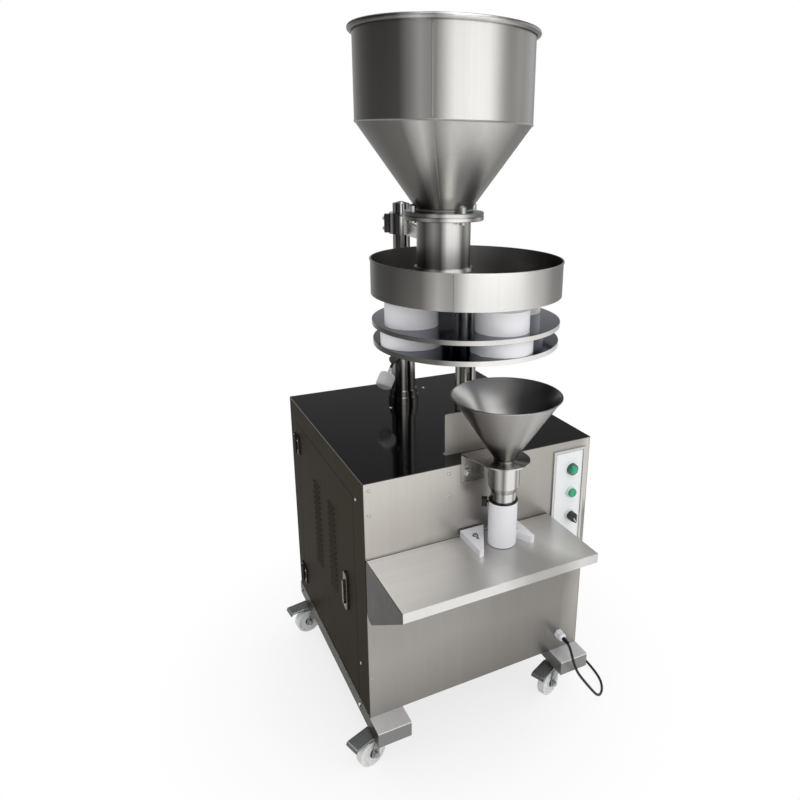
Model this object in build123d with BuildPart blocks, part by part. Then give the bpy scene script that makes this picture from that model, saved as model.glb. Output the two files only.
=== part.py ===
"""Granule filling machine: a stainless cabinet on four braked casters that carries a turntable of measuring cups
under a feed hopper, and a discharge funnel with a telescopic sleeve over a bottle shelf.

Millimetres. +Z is up, -Y is the operator's side, and the origin is on the floor under the middle of the cabinet.
"""

from build123d import *
import math
import os

os.makedirs("parts", exist_ok=True)

# Cabinet
CABINET_WIDTH = 600.0
CABINET_DEPTH = 612.0
CABINET_HEIGHT = 616.0
SHEET = 1.5
TOP_SHEET = 2.0
SKIRT_DEPTH = 14.0
FLOOR_SHEET = 3.0

# Base beams: lipped channels, open below
BEAM_WIDTH = 84.0
BEAM_HEIGHT = 40.0
BEAM_WALL = 3.0
BEAM_LIP = 16.0
BEAM_FRONT = 55.0
BEAM_REAR = 12.0

# Casters
CASTER_HEIGHT = 103.0
CASTER_INSET = 77.0
CASTER_REAR_INSET = 50.0
CASTER_TRAIL = 40.0
CASTER_HEADINGS = {"front_left": 198.0, "front_right": 203.0, "rear_left": 187.0, "rear_right": 197.0}
PLATE_LENGTH = 92.0
PLATE_WIDTH = 66.0
PLATE_THICK = 4.0
KINGPIN_RADIUS = 6.0
RACE_RADIUS = 24.0
RACE_HEIGHT = 8.0
FORK_SHEET = 2.5
FORK_TOP_RADIUS = 26.0
FORK_CROWN = 9.0
WHEEL_RADIUS = 37.5
WHEEL_WIDTH = 25.0
WHEEL_SIDE_GAP = 2.0
TREAD_ROUND = 3.0
AXLE_RADIUS = 5.0
AXLE_HEAD_RADIUS = 9.0
AXLE_HEAD = 5.0
PEDAL_WIDTH = 40.0
PEDAL_START = 33.0
PEDAL_REACH = 96.0
PEDAL_SHEET = 2.5
PEDAL_SLOPE = 3.0
PEDAL_LIP = 7.0
PEDAL_PIN = (18.0, 80.0)
PEDAL_PIN_RADIUS = 3.0
PEDAL_BOSS_RADIUS = 6.0
PEDAL_EAR_LENGTH = 26.0
PEDAL_EAR_HEIGHT = 8.0

# Shelf
SHELF_TOP = 574.0
SHELF_DEPTH = 209.0
SHELF_LEFT = -299.0
SHELF_RIGHT = 179.0
SHELF_LIP = 23.0
SHELF_GROOVE = 2.5
SHELF_FLANGE = 34.0
GUSSET_DROP = 169.0
GUSSET_CORNER = 22.0

# Bottle locators on the shelf
LOCATOR_HEIGHT = 16.5
LOCATOR_LEFT = -68.0
LOCATOR_RIGHT = 77.0
LOCATOR_BACK_WIDTH = 62.0
LOCATOR_REACH = 98.0
LOCATOR_TIP = 10.0
LOCATOR_WALL_GAP = 1.0
LOCATOR_SCREW_RADIUS = 3.2
LOCATOR_SLOT_LENGTH = 34.0

# Discharge: bracket, funnel, tube and sleeve share one upright axis
DISCHARGE_X = 9.0
DISCHARGE_REACH = 67.0
BRACKET_TOP = 784.0
BRACKET_SHEET = 3.0
BRACKET_RADIUS = 57.5
BRACKET_LEFT = -66.0
FLANGE_WIDTH = 60.0
FLANGE_DROP = 73.0
TUBE_RADIUS = 35.5
TUBE_WALL = 2.0
TUBE_SHOULDER = 722.0
SPIGOT_TOP = 708.0
SPIGOT_RADIUS = 29.0
SPIGOT_BOTTOM = 640.0
FUNNEL_RIM = 936.0
FUNNEL_RIM_RADIUS = 121.0
FUNNEL_THROAT_RADIUS = 21.0
FUNNEL_WALL = 1.5
FUNNEL_COLLAR = 2.0
SPOUT_BOTTOM = 745.0
SLEEVE_BOTTOM = 575.5
SLEEVE_TOP = 686.0
SLEEVE_OUTER = 33.0
SLEEVE_INNER = 30.0
SLEEVE_TRAVEL = 20.0
THUMB_HEIGHT = 677.0
THUMB_DIRECTION = 150.0
THUMB_SCREW_RADIUS = 3.0
THUMB_KNOB_RADIUS = 12.0
THUMB_KNOB_WIDTH = 13.0

# Guard plate on the top
GUARD_BACK = 55.0
GUARD_LEFT = -79.0
GUARD_WIDTH = 178.0
GUARD_HEIGHT = 102.0
GUARD_FOOT = 12.0
GUARD_SHEET = 2.0

# Turntable: everything turns round one upright axis
ROTOR_X = 0.0
ROTOR_SETBACK = 110.0
ROTOR_REST_ANGLE = 5.0
CUP_COUNT = 4
CUP_PITCH_RADIUS = 143.0
BOWL_RADIUS = 217.0
BOWL_WALL = 2.0
BOWL_FLOOR = 3.0
BOWL_BOTTOM = 1130.0
BOWL_RIM = 1208.0
BOWL_BEAD = 1.5
CUP_OUTER = 59.0
CUP_INNER = 55.0
CUP_BOTTOM = 1040.0
SLEEVE_GAP = 0.3
CUP_SLEEVE_OUTER = 68.5
DISC_SHEET = 3.0
UPPER_DISC_RADIUS = 216.0
UPPER_DISC_TOP = 1071.0
UPPER_DISC_EDGE = 10.0
LOWER_DISC_RADIUS = 214.0
LOWER_DISC_TOP = 1027.0
LOWER_DISC_EDGE = 11.0
DISC_GAP = 0.4
DISC_RIM_WALL = 4.0
ROTOR_HUB_RADIUS = 25.0
ROTOR_HUB_BOTTOM = 1035.0
ROTOR_FLANGE_RADIUS = 60.0
ROTOR_FLANGE = 8.0
UPPER_BOSS_RADIUS = 40.0
UPPER_BOSS_BOTTOM = 1048.0
LOWER_BOSS_RADIUS = 42.0
LOWER_BOSS_BOTTOM = 985.0
LOWER_BOSS_TOP = 1019.0
LOWER_EYE_RADIUS = 28.0
DISCHARGE_HOLE_RADIUS = 57.0
CHUTE_WALL = 3.0
CHUTE_DROP = 14.0
VOLUME_DOWN = 25.0
VOLUME_UP = 10.0
RUNNING_FIT = 0.05

# Shaft housing and drive
HOUSING_RADIUS = 24.0
HOUSING_BORE = 17.5
HOUSING_TOP = 1031.0
HOUSING_BOTTOM = 690.0
HOUSING_FLANGE_RADIUS = 40.0
HOUSING_FLANGE = 10.0
BEARING_HEIGHT = 14.0
SHAFT_RADIUS = 10.0
SHAFT_BOTTOM = 600.0
BELT_HEIGHT = 12.0
BELT_THICK = 6.0
BELT_GAP = 0.3
BELT_LEVEL = 634.0
DRIVEN_PULLEY_RADIUS = 60.0
DRIVE_PULLEY_RADIUS = 40.0
PULLEY_FLANGE = 2.0
PULLEY_LIP = 7.5
MOTOR_INSET = 312.0
MOTOR_SHAFT_RADIUS = 9.0
GEARBOX_WIDTH = 90.0
GEARBOX_LENGTH = 120.0
GEARBOX_HEIGHT = 96.0
GEARBOX_TOP = 590.0
MOTOR_RADIUS = 58.0
MOTOR_LENGTH = 190.0
STAND_SHEET = 4.0

# Hopper column
COLUMN_X = -18.0
COLUMN_INSET = 162.0
COLUMN_RADIUS = 33.5
COLUMN_WALL = 4.0
COLUMN_TOP = 1020.0
COLUMN_BASE_RADIUS = 41.5
COLUMN_BASE_HEIGHT = 18.0
COLUMN_RING_RADIUS = 38.5
COLUMN_RING_HEIGHT = 36.0
BUSH_HEIGHT = 30.0
MAST_RADIUS = 22.5
MAST_WALL = 3.5
MAST_BOTTOM = 802.0
MAST_TOP = 1304.0
MAST_CAP = 6.0
MAST_DOWN = 10.0
MAST_UP = 100.0
LEVER_HEIGHT = 892.0
LEVER_DIRECTION = 217.0
LEVER_BOSS_RADIUS = 11.0
LEVER_BOSS_LENGTH = 22.0
LEVER_SCREW_RADIUS = 6.0
LEVER_ROD_RADIUS = 4.0
LEVER_ROD_LENGTH = 62.0
LEVER_SLOPE = 45.0
GRIP_RADIUS = 22.0
GRIP_LENGTH = 40.0

# Hopper
HOPPER_OFFSET = (-39.0, 42.0)
HOPPER_RADIUS = 191.5
HOPPER_WALL = 2.0
HOPPER_RIM = 1676.0
HOPPER_BEAD = 6.0
HOPPER_JOINT = 1492.0
CONE_BOTTOM = 1312.0
NECK_RADIUS = 61.0
NECK_WALL = 2.0
NECK_BOTTOM = 1178.0
FLANGE_RADIUS = 90.0
FLANGE_THICK = 9.0
FLANGE_FACE = 1299.0
FLANGE_CHAMFER = 1.2
LEVEL_RING_RADIUS = 68.5
LEVEL_RING_HEIGHT = 7.0
BOLT_PITCH_RADIUS = 79.0
BOLT_RADIUS = 4.0
NUT_RADIUS = 7.5
NUT_HEIGHT = 17.0
BOLT_HEAD = 6.0
CLAMP_BOTTOM = 1226.0
CLAMP_TOP = 1279.0
CLAMP_WALL = 10.0
CLAMP_EAR = 18.0
ARM_WEB = 8.0
ARM_STRAP_WIDTH = 36.0
ARM_STRAP = 5.0
ARM_WINDOW = 14.0
SADDLE_WALL = 4.0
SADDLE_HEIGHT = 56.0
SADDLE_HALF_ANGLE = 32.0

# Door on the left side
DOOR_FRONT_MARGIN = 72.0
DOOR_REAR_MARGIN = 60.0
DOOR_BOTTOM = 155.0
DOOR_TOP = 699.0
DOOR_GAP = 1.5
DOOR_FOLD = 17.0
FRAME_FOLD = 15.0
LOUVRE_LENGTH = 50.0
LOUVRE_WIDTH = 5.0
LOUVRE_PITCH = 15.8
LOUVRE_COUNT = 16
LOUVRE_HOOD = 3.5
LOUVRE_BOTTOM = 357.0
LOUVRE_COLUMNS = (-62.0, 64.0)
HINGE_LEVELS = (217.0, 637.0)
HINGE_LENGTH = 50.0
HINGE_LEAF = 26.0
HINGE_LEAF_THICK = 4.0
HINGE_KNUCKLE_RADIUS = 6.0
HINGE_PIN_RADIUS = 3.0
HINGE_STANDOFF = 6.5
HINGE_PLAY = 0.3
LATCH_INSET = 68.0
LATCH_LEVEL = 411.0
LATCH_WIDTH = 25.0
LATCH_LENGTH = 107.0
LATCH_THICK = 6.0
LATCH_PIVOT = 437.0
LATCH_BAR_LENGTH = 66.0
LATCH_BAR_WIDTH = 11.0
LATCH_BAR_THICK = 5.0
LATCH_SHAFT_RADIUS = 4.0
LATCH_CAM_LENGTH = 84.0
LATCH_CAM_WIDTH = 18.0
LATCH_CAM_THICK = 3.0
LATCH_CAM_GAP = 1.0

# Control panel at the right of the front
PANEL_LEFT = 192.0
PANEL_RIGHT = 287.0
PANEL_BOTTOM = 466.0
PANEL_TOP = 736.0
PANEL_FRAME = 6.0
PANEL_PROUD = 4.0
PANEL_SHEET = 1.5
CONTROL_X = 248.0
LAMP_LEVEL = 681.0
BUTTON_LEVEL = 618.0
SELECTOR_LEVEL = 554.0
CONTROL_BODY_RADIUS = 11.0
CONTROL_BODY_DEPTH = 42.0
BEZEL_RADIUS = 14.5
BEZEL_HEIGHT = 7.0
LAMP_RADIUS = 15.5
LAMP_HEIGHT = 14.0
LENS_RADIUS = 12.0
BUTTON_RADIUS = 11.0
BUTTON_PROUD = 6.5
BUTTON_TRAVEL = 4.0
SELECTOR_RADIUS = 11.5
SELECTOR_HEIGHT = 13.0
SELECTOR_TIP = 19.0
SELECTOR_ANGLE = -62.0
CONTROL_GAP = 0.3

# Mains lead: gland, cord, coil and plug
GLAND = (240.0, 191.0)
GLAND_NUT_RADIUS = 13.0
GLAND_NUT = 9.0
GLAND_DOME_RADIUS = 10.5
GLAND_LENGTH = 26.0
GLAND_BODY_RADIUS = 8.0
GLAND_TAIL = 12.0
CORD_RADIUS = 3.5
CORD_REST = 3.8
CORD_ROUTE = [
    (240, -332, 191),
    (240, -349, 191),
    (238.5, -364.5, 185),
    (237, -376, 172),
    (238, -384, 156),
    (242, -389, 138),
    (251, -393, 118),
    (266, -397, 95),
    (284, -400, 69),
    (302, -400, 44),
    (320, -396, 22),
    (340, -386, 9),
    (362, -366, CORD_REST),
    (378, -338, CORD_REST),
    (386, -300, CORD_REST),
    (389, -250, CORD_REST),
    (388, -190, CORD_REST),
    (385, -110, CORD_REST),
    (389, -20, CORD_REST),
    (390, 70, CORD_REST),
    (386, 160, CORD_REST),
    (379, 245, CORD_REST),
    (365, 320, CORD_REST),
    (339, 372, CORD_REST),
    (301, 394, CORD_REST),
    (255, 399, CORD_REST),
    (207, 397, CORD_REST),
    (165, 393, CORD_REST),
]
COIL_CENTRE = (165.0, 438.5)
COIL_RADIUS = 38.5
COIL_BAND = 21.0
COIL_HEIGHT = 14.0
COIL_REST = 0.3
TAIL_REACH = 42.0
PLUG_BODY = 38.0
PLUG_RADIUS = 13.0
PLUG_RELIEF = 30.0
PLUG_PIN_LENGTH = 19.0
PLUG_PIN_RADIUS = 2.4
PLUG_PIN_SPREAD = 9.5

# Electrical plate
BOARD_WIDTH = 240.0
BOARD_HEIGHT = 260.0
BOARD_SHEET = 2.0
BOARD_STANDOFF = 12.0
BOARD_CENTRE = (110.0, 480.0)
BOARD_UNITS = [
    ((-62.0, 55.0), (90.0, 110.0), 60.0, 3.0),
    ((48.0, 62.0), (46.0, 86.0), 48.0, 2.0),
    ((100.0, 62.0), (30.0, 86.0), 40.0, 2.0),
    ((0.0, -92.0), (190.0, 26.0), 28.0, 2.0),
    ((0.0, -36.0), (190.0, 24.0), 34.0, 1.0),
]

# Worked-out levels and faces
beam_bottom = CASTER_HEIGHT
cabinet_bottom = beam_bottom + BEAM_HEIGHT
cabinet_top = cabinet_bottom + CABINET_HEIGHT
half_width = CABINET_WIDTH / 2
front = -CABINET_DEPTH / 2
rear = CABINET_DEPTH / 2
under_top = cabinet_top - TOP_SHEET
beam_length = BEAM_FRONT + CABINET_DEPTH + BEAM_REAR
beam_middle = (BEAM_REAR - BEAM_FRONT) / 2
beam_x = half_width - BEAM_WIDTH / 2
ROTOR = (ROTOR_X, front + ROTOR_SETBACK)
MOTOR_AXIS = (ROTOR_X, rear - MOTOR_INSET)
pulley_centres = MOTOR_AXIS[1] - ROTOR[1]
DISCHARGE = (DISCHARGE_X, front - DISCHARGE_REACH)
COLUMN = (COLUMN_X, rear - COLUMN_INSET)
HOPPER = (ROTOR_X + HOPPER_OFFSET[0], ROTOR[1] + HOPPER_OFFSET[1])
door_front = front + DOOR_FRONT_MARGIN
door_rear = rear - DOOR_REAR_MARGIN
latch_y = door_front + LATCH_INSET

front_plane = Plane(origin=(0, front, 0), x_dir=(1, 0, 0), z_dir=(0, -1, 0))
left_plane = Plane(origin=(-half_width, 0, 0), x_dir=(0, -1, 0), z_dir=(-1, 0, 0))


def save(builder, name):
    """Label a finished piece and write it as one STEP file."""
    builder.part.label = name
    export_step(builder.part, f"parts/{name}.step")


def turn(points, centre, mode=Mode.ADD):
    """Revolve a closed outline of (radius, height) points about the upright axis at centre."""
    with BuildSketch(Plane(origin=(*centre, 0), x_dir=(1, 0, 0), z_dir=(0, -1, 0))) as profile:
        with BuildLine():
            Polyline(*points, close=True)
        make_face()
    revolve(profile.sketch, axis=Axis((*centre, 0), (0, 0, 1)), mode=mode)


def disc(centre, level, radius, height, mode=Mode.ADD):
    """Stand a round of the given height on a level."""
    with BuildSketch(Plane.XY.offset(level)) as profile:
        with Locations(centre):
            Circle(radius)
    extrude(profile.sketch, amount=height, mode=mode)


def slab(plane, centre, size, thickness, corner=0.0, mode=Mode.ADD):
    """Extrude a plain or round-cornered rectangle from a plane, by a signed thickness."""
    with BuildSketch(plane) as profile:
        with Locations(centre):
            if corner:
                RectangleRounded(*size, corner)
            else:
                Rectangle(*size)
    extrude(profile.sketch, amount=thickness, mode=mode)


def span(low, high):
    """Middle and length of a stretch."""
    return (low + high) / 2, high - low


def polar(centre, radius, angle):
    """Point at a radius and an angle in degrees round a centre."""
    turn_angle = math.radians(angle)
    return centre[0] + radius * math.cos(turn_angle), centre[1] + radius * math.sin(turn_angle)


cup_centres = [
    polar(ROTOR, CUP_PITCH_RADIUS, ROTOR_REST_ANGLE + 360 / CUP_COUNT * k) for k in range(CUP_COUNT)
]

# Base beams
with BuildPart() as base_beams:
    beam_spots = [(side * beam_x, beam_middle) for side in (-1, 1)]
    with BuildSketch(Plane.XY.offset(beam_bottom)):
        with Locations(*beam_spots):
            Rectangle(BEAM_WIDTH, beam_length)
    extrude(amount=BEAM_HEIGHT)
    with BuildSketch(Plane.XY.offset(beam_bottom + BEAM_WALL)):
        with Locations(*beam_spots):
            Rectangle(BEAM_WIDTH - 2 * BEAM_WALL, beam_length - 2 * BEAM_WALL)
    extrude(amount=BEAM_HEIGHT - 2 * BEAM_WALL, mode=Mode.SUBTRACT)
    with BuildSketch(Plane.XY.offset(beam_bottom)):
        with Locations(*beam_spots):
            Rectangle(BEAM_WIDTH - 2 * BEAM_LIP, beam_length - 2 * BEAM_LIP)
    extrude(amount=BEAM_WALL, mode=Mode.SUBTRACT)
save(base_beams, "base_beams")

# Cabinet front, with the holes that the controls and the gland need
panel_mid, panel_tall = span(cabinet_bottom, under_top)
inner_width = CABINET_WIDTH - 2 * SHEET
with BuildPart() as front_panel:
    with BuildSketch(front_plane):
        with Locations((0, panel_mid)):
            Rectangle(inner_width, panel_tall)
        with Locations(*[(CONTROL_X, level) for level in (LAMP_LEVEL, BUTTON_LEVEL, SELECTOR_LEVEL)]):
            Circle(CONTROL_BODY_RADIUS + CONTROL_GAP, mode=Mode.SUBTRACT)
        with Locations(GLAND):
            Circle(GLAND_BODY_RADIUS, mode=Mode.SUBTRACT)
    extrude(amount=-SHEET)
save(front_panel, "front_panel")

# Right side and back, folded from one sheet
with BuildPart() as wrap_panel:
    with BuildSketch(Plane.XY.offset(cabinet_bottom)):
        with Locations((half_width - SHEET / 2, 0)):
            Rectangle(SHEET, CABINET_DEPTH)
        with Locations((SHEET / 2, rear - SHEET / 2)):
            Rectangle(CABINET_WIDTH - SHEET, SHEET)
    extrude(amount=panel_tall)
save(wrap_panel, "wrap_panel")

# Left side with the door opening and its folded edges
door_mid_y, door_wide = span(door_front, door_rear)
door_mid_z, door_tall = span(DOOR_BOTTOM, DOOR_TOP)
opening_wide = door_wide + 2 * DOOR_GAP
opening_tall = door_tall + 2 * DOOR_GAP
with BuildPart() as left_frame:
    with BuildSketch(left_plane):
        with Locations((0, panel_mid)):
            Rectangle(CABINET_DEPTH, panel_tall)
        with Locations((-door_mid_y, door_mid_z)):
            Rectangle(opening_wide, opening_tall, mode=Mode.SUBTRACT)
    extrude(amount=-SHEET)
    with BuildSketch(left_plane):
        with Locations((-door_mid_y, door_mid_z)):
            Rectangle(opening_wide + 2 * SHEET, opening_tall + 2 * SHEET)
            Rectangle(opening_wide, opening_tall, mode=Mode.SUBTRACT)
    extrude(amount=-FRAME_FOLD)
save(left_frame, "left_frame")

# Top plate with a skirt that drops inside the panels
with BuildPart() as top_plate:
    with BuildSketch(Plane.XY.offset(under_top)):
        Rectangle(CABINET_WIDTH, CABINET_DEPTH)
        with Locations(ROTOR):
            Circle(HOUSING_RADIUS, mode=Mode.SUBTRACT)
    extrude(amount=TOP_SHEET)
    with BuildSketch(Plane.XY.offset(under_top - SKIRT_DEPTH)):
        Rectangle(inner_width, CABINET_DEPTH - 2 * SHEET)
        Rectangle(inner_width - 2 * SHEET, CABINET_DEPTH - 4 * SHEET, mode=Mode.SUBTRACT)
    extrude(amount=SKIRT_DEPTH)
save(top_plate, "top_plate")

# Cabinet floor with the bridge that carries the gear motor
stand_top = GEARBOX_TOP - GEARBOX_HEIGHT
with BuildPart() as bottom_plate:
    slab(Plane.XY.offset(cabinet_bottom), (0, 0), (inner_width, CABINET_DEPTH - 2 * SHEET), FLOOR_SHEET)
    bridge_width = GEARBOX_WIDTH + 2 * STAND_SHEET
    for side in (-1, 1):
        leg_x = MOTOR_AXIS[0] + side * (bridge_width - STAND_SHEET) / 2
        leg_level = cabinet_bottom + FLOOR_SHEET
        slab(
            Plane.XY.offset(leg_level),
            (leg_x, MOTOR_AXIS[1]),
            (STAND_SHEET, GEARBOX_LENGTH),
            stand_top - leg_level,
        )
    slab(
        Plane.XY.offset(stand_top - STAND_SHEET),
        MOTOR_AXIS,
        (bridge_width, GEARBOX_LENGTH),
        STAND_SHEET,
    )
save(bottom_plate, "bottom_plate")

# Bottle shelf: plate, front lip, side gussets and a flange on the cabinet
shelf_front = front - SHELF_DEPTH
shelf_mid_x, shelf_wide = span(SHELF_LEFT, SHELF_RIGHT)
plate_back = front - SHEET - SHELF_GROOVE
with BuildPart() as shelf:
    plate_mid_y, plate_deep = span(shelf_front, plate_back)
    slab(Plane.XY.offset(SHELF_TOP - SHEET), (shelf_mid_x, plate_mid_y), (shelf_wide, plate_deep), SHEET)
    slab(
        Plane.XY.offset(SHELF_TOP - SHELF_LIP),
        (shelf_mid_x, shelf_front + SHEET / 2),
        (shelf_wide, SHEET),
        SHELF_LIP,
    )
    slab(
        Plane.XY.offset(SHELF_TOP - SHEET - SHELF_FLANGE),
        (shelf_mid_x, front - SHEET / 2),
        (shelf_wide, SHEET),
        SHELF_FLANGE,
    )
    for x in (SHELF_LEFT, SHELF_RIGHT - SHEET):
        with BuildSketch(Plane(origin=(x, 0, 0), x_dir=(0, 1, 0), z_dir=(1, 0, 0))) as gusset:
            with BuildLine():
                Polyline(
                    (shelf_front, SHELF_TOP - SHEET),
                    (shelf_front, SHELF_TOP - SHELF_LIP),
                    (front, SHELF_TOP - GUSSET_DROP),
                    (front, SHELF_TOP - SHEET),
                    close=True,
                )
            make_face()
            fillet(gusset.vertices().sort_by(Axis.Y)[0], GUSSET_CORNER)
        extrude(gusset.sketch, amount=SHEET)
save(shelf, "shelf")

# Bottle locators: two slotted nylon blocks, mirrored about the discharge axis
with BuildPart() as bottle_locators:
    locator_back = front - SHELF_GROOVE - SHEET - LOCATOR_WALL_GAP
    for side, outer in ((-1, LOCATOR_LEFT), (1, LOCATOR_RIGHT)):
        inner = outer - side * LOCATOR_BACK_WIDTH
        tip_y = locator_back - LOCATOR_REACH
        with BuildSketch(Plane.XY.offset(SHELF_TOP)) as block:
            with BuildLine():
                Polyline(
                    (inner, locator_back),
                    (outer, locator_back),
                    (outer, tip_y),
                    (outer - side * LOCATOR_TIP, tip_y),
                    close=True,
                )
            make_face()
            fillet(block.vertices().sort_by(Axis.Y)[:2], LOCATOR_TIP / 3)
            with Locations((outer - side * LOCATOR_BACK_WIDTH * 0.35, locator_back - LOCATOR_REACH * 0.37)):
                SlotOverall(LOCATOR_SLOT_LENGTH, 2 * LOCATOR_SCREW_RADIUS, rotation=90, mode=Mode.SUBTRACT)
        extrude(block.sketch, amount=LOCATOR_HEIGHT)
save(bottle_locators, "bottle_locators")

# Guard plate behind the funnel, bent up from a foot on the top
with BuildPart() as guard_plate:
    guard_y = front + GUARD_BACK
    guard_mid_x = GUARD_LEFT + GUARD_WIDTH / 2
    guard_plane = Plane(origin=(0, guard_y, 0), x_dir=(1, 0, 0), z_dir=(0, -1, 0))
    slab(guard_plane, (guard_mid_x, cabinet_top + GUARD_HEIGHT / 2), (GUARD_WIDTH, GUARD_HEIGHT), -GUARD_SHEET)
    fillet(
        guard_plate.edges().filter_by(Axis.Y).group_by(Axis.Z)[-1],
        GUARD_FOOT / 3,
    )
    slab(
        Plane.XY.offset(cabinet_top),
        (guard_mid_x, guard_y + GUARD_FOOT / 2),
        (GUARD_WIDTH, GUARD_FOOT),
        GUARD_SHEET,
    )
save(guard_plate, "guard_plate")

# Funnel bracket: round-nosed plate, two slotted flanges and the stepped discharge tube
bracket_right = DISCHARGE[0] + BRACKET_RADIUS
with BuildPart() as funnel_bracket:
    with BuildSketch(Plane.XY.offset(BRACKET_TOP - BRACKET_SHEET)) as outline:
        with Locations(DISCHARGE):
            Circle(BRACKET_RADIUS)
        flange_mid, flange_span = span(BRACKET_LEFT, bracket_right)
        with Locations((flange_mid, front - BRACKET_SHEET / 2)):
            Rectangle(flange_span, BRACKET_SHEET)
        make_hull()
    with BuildSketch(Plane.XY.offset(BRACKET_TOP - BRACKET_SHEET)) as eye:
        with Locations(DISCHARGE):
            Circle(FUNNEL_THROAT_RADIUS + CONTROL_GAP)
    extrude(outline.sketch, amount=BRACKET_SHEET)
    extrude(eye.sketch, amount=BRACKET_SHEET, mode=Mode.SUBTRACT)
    for flange_x in (BRACKET_LEFT + FLANGE_WIDTH / 2, bracket_right - FLANGE_WIDTH / 2):
        with BuildSketch(front_plane) as flange:
            with Locations((flange_x, BRACKET_TOP - FLANGE_DROP / 2)):
                Rectangle(FLANGE_WIDTH, FLANGE_DROP)
            with Locations((flange_x - FLANGE_WIDTH / 4, BRACKET_TOP - FLANGE_DROP * 0.6)):
                SlotOverall(26, 8, rotation=90, mode=Mode.SUBTRACT)
        extrude(flange.sketch, amount=BRACKET_SHEET)
    turn(
        [
            (TUBE_RADIUS - TUBE_WALL, BRACKET_TOP - BRACKET_SHEET),
            (TUBE_RADIUS, BRACKET_TOP - BRACKET_SHEET),
            (TUBE_RADIUS, TUBE_SHOULDER),
            (SPIGOT_RADIUS, SPIGOT_TOP),
            (SPIGOT_RADIUS, SPIGOT_BOTTOM),
            (SPIGOT_RADIUS - TUBE_WALL, SPIGOT_BOTTOM),
            (SPIGOT_RADIUS - TUBE_WALL, SPIGOT_TOP),
            (TUBE_RADIUS - TUBE_WALL, TUBE_SHOULDER),
        ],
        DISCHARGE,
    )
save(funnel_bracket, "funnel_bracket")

# Discharge funnel: rolled rim, cone, seating collar and spout
throat_level = BRACKET_TOP + FUNNEL_COLLAR
with BuildPart() as discharge_funnel:
    turn(
        [
            (FUNNEL_THROAT_RADIUS - FUNNEL_WALL, SPOUT_BOTTOM),
            (FUNNEL_THROAT_RADIUS, SPOUT_BOTTOM),
            (FUNNEL_THROAT_RADIUS, BRACKET_TOP),
            (FUNNEL_THROAT_RADIUS + 2 * FUNNEL_COLLAR, BRACKET_TOP),
            (FUNNEL_THROAT_RADIUS + 2 * FUNNEL_COLLAR, throat_level),
            (FUNNEL_THROAT_RADIUS + FUNNEL_WALL, throat_level),
            (FUNNEL_RIM_RADIUS, FUNNEL_RIM - FUNNEL_WALL),
            (FUNNEL_RIM_RADIUS + FUNNEL_WALL, FUNNEL_RIM - FUNNEL_WALL),
            (FUNNEL_RIM_RADIUS + FUNNEL_WALL, FUNNEL_RIM),
            (FUNNEL_RIM_RADIUS - FUNNEL_WALL, FUNNEL_RIM),
            (FUNNEL_THROAT_RADIUS - FUNNEL_WALL, throat_level),
        ],
        DISCHARGE,
    )
    fillet(discharge_funnel.edges().group_by(Axis.Z)[-1].sort_by(SortBy.LENGTH)[-1:], FUNNEL_WALL / 2)
save(discharge_funnel, "discharge_funnel")

# Sliding discharge sleeve, clamped by a knurled thumb screw
thumb_out = Vector(1, 0, 0).rotate(Axis.Z, THUMB_DIRECTION)
thumb_plane = Plane(origin=(*DISCHARGE, THUMB_HEIGHT), x_dir=(0, 0, 1), z_dir=thumb_out)
with BuildPart() as discharge_sleeve:
    turn(
        [
            (SLEEVE_INNER, SLEEVE_BOTTOM),
            (SLEEVE_OUTER, SLEEVE_BOTTOM),
            (SLEEVE_OUTER, SLEEVE_TOP),
            (SLEEVE_INNER, SLEEVE_TOP),
        ],
        DISCHARGE,
    )
    with BuildSketch(thumb_plane):
        Circle(THUMB_SCREW_RADIUS + RUNNING_FIT)
    extrude(amount=SLEEVE_OUTER + SHEET, mode=Mode.SUBTRACT)
save(discharge_sleeve, "discharge_sleeve")

with BuildPart() as thumb_screw:
    with BuildSketch(thumb_plane.offset(SPIGOT_RADIUS + CONTROL_GAP)):
        Circle(THUMB_SCREW_RADIUS)
    extrude(amount=SLEEVE_OUTER - SPIGOT_RADIUS + 2 * THUMB_SCREW_RADIUS)
    with BuildSketch(thumb_plane.offset(SLEEVE_OUTER + THUMB_SCREW_RADIUS)):
        Circle(THUMB_KNOB_RADIUS)
        with PolarLocations(THUMB_KNOB_RADIUS, 12):
            Circle(1.6, mode=Mode.SUBTRACT)
    extrude(amount=THUMB_KNOB_WIDTH)
save(thumb_screw, "thumb_screw")

# Turntable bowl: flat floor with a hole over each cup, and a beaded wall
with BuildPart() as bowl:
    turn(
        [
            (SHAFT_RADIUS + RUNNING_FIT, BOWL_BOTTOM),
            (BOWL_RADIUS, BOWL_BOTTOM),
            (BOWL_RADIUS, BOWL_RIM - 2 * BOWL_BEAD),
            (BOWL_RADIUS + BOWL_BEAD, BOWL_RIM - 2 * BOWL_BEAD),
            (BOWL_RADIUS + BOWL_BEAD, BOWL_RIM),
            (BOWL_RADIUS - BOWL_WALL, BOWL_RIM),
            (BOWL_RADIUS - BOWL_WALL, BOWL_BOTTOM + BOWL_FLOOR),
            (SHAFT_RADIUS + RUNNING_FIT, BOWL_BOTTOM + BOWL_FLOOR),
        ],
        ROTOR,
    )
    with BuildSketch(Plane.XY.offset(BOWL_BOTTOM)):
        with Locations(*cup_centres):
            Circle(CUP_INNER)
    extrude(amount=BOWL_FLOOR, mode=Mode.SUBTRACT)
    fillet(bowl.edges().filter_by(GeomType.CIRCLE).group_by(Axis.Z)[-1].sort_by(SortBy.LENGTH)[-1:], BOWL_BEAD / 2)
save(bowl, "bowl")

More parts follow.
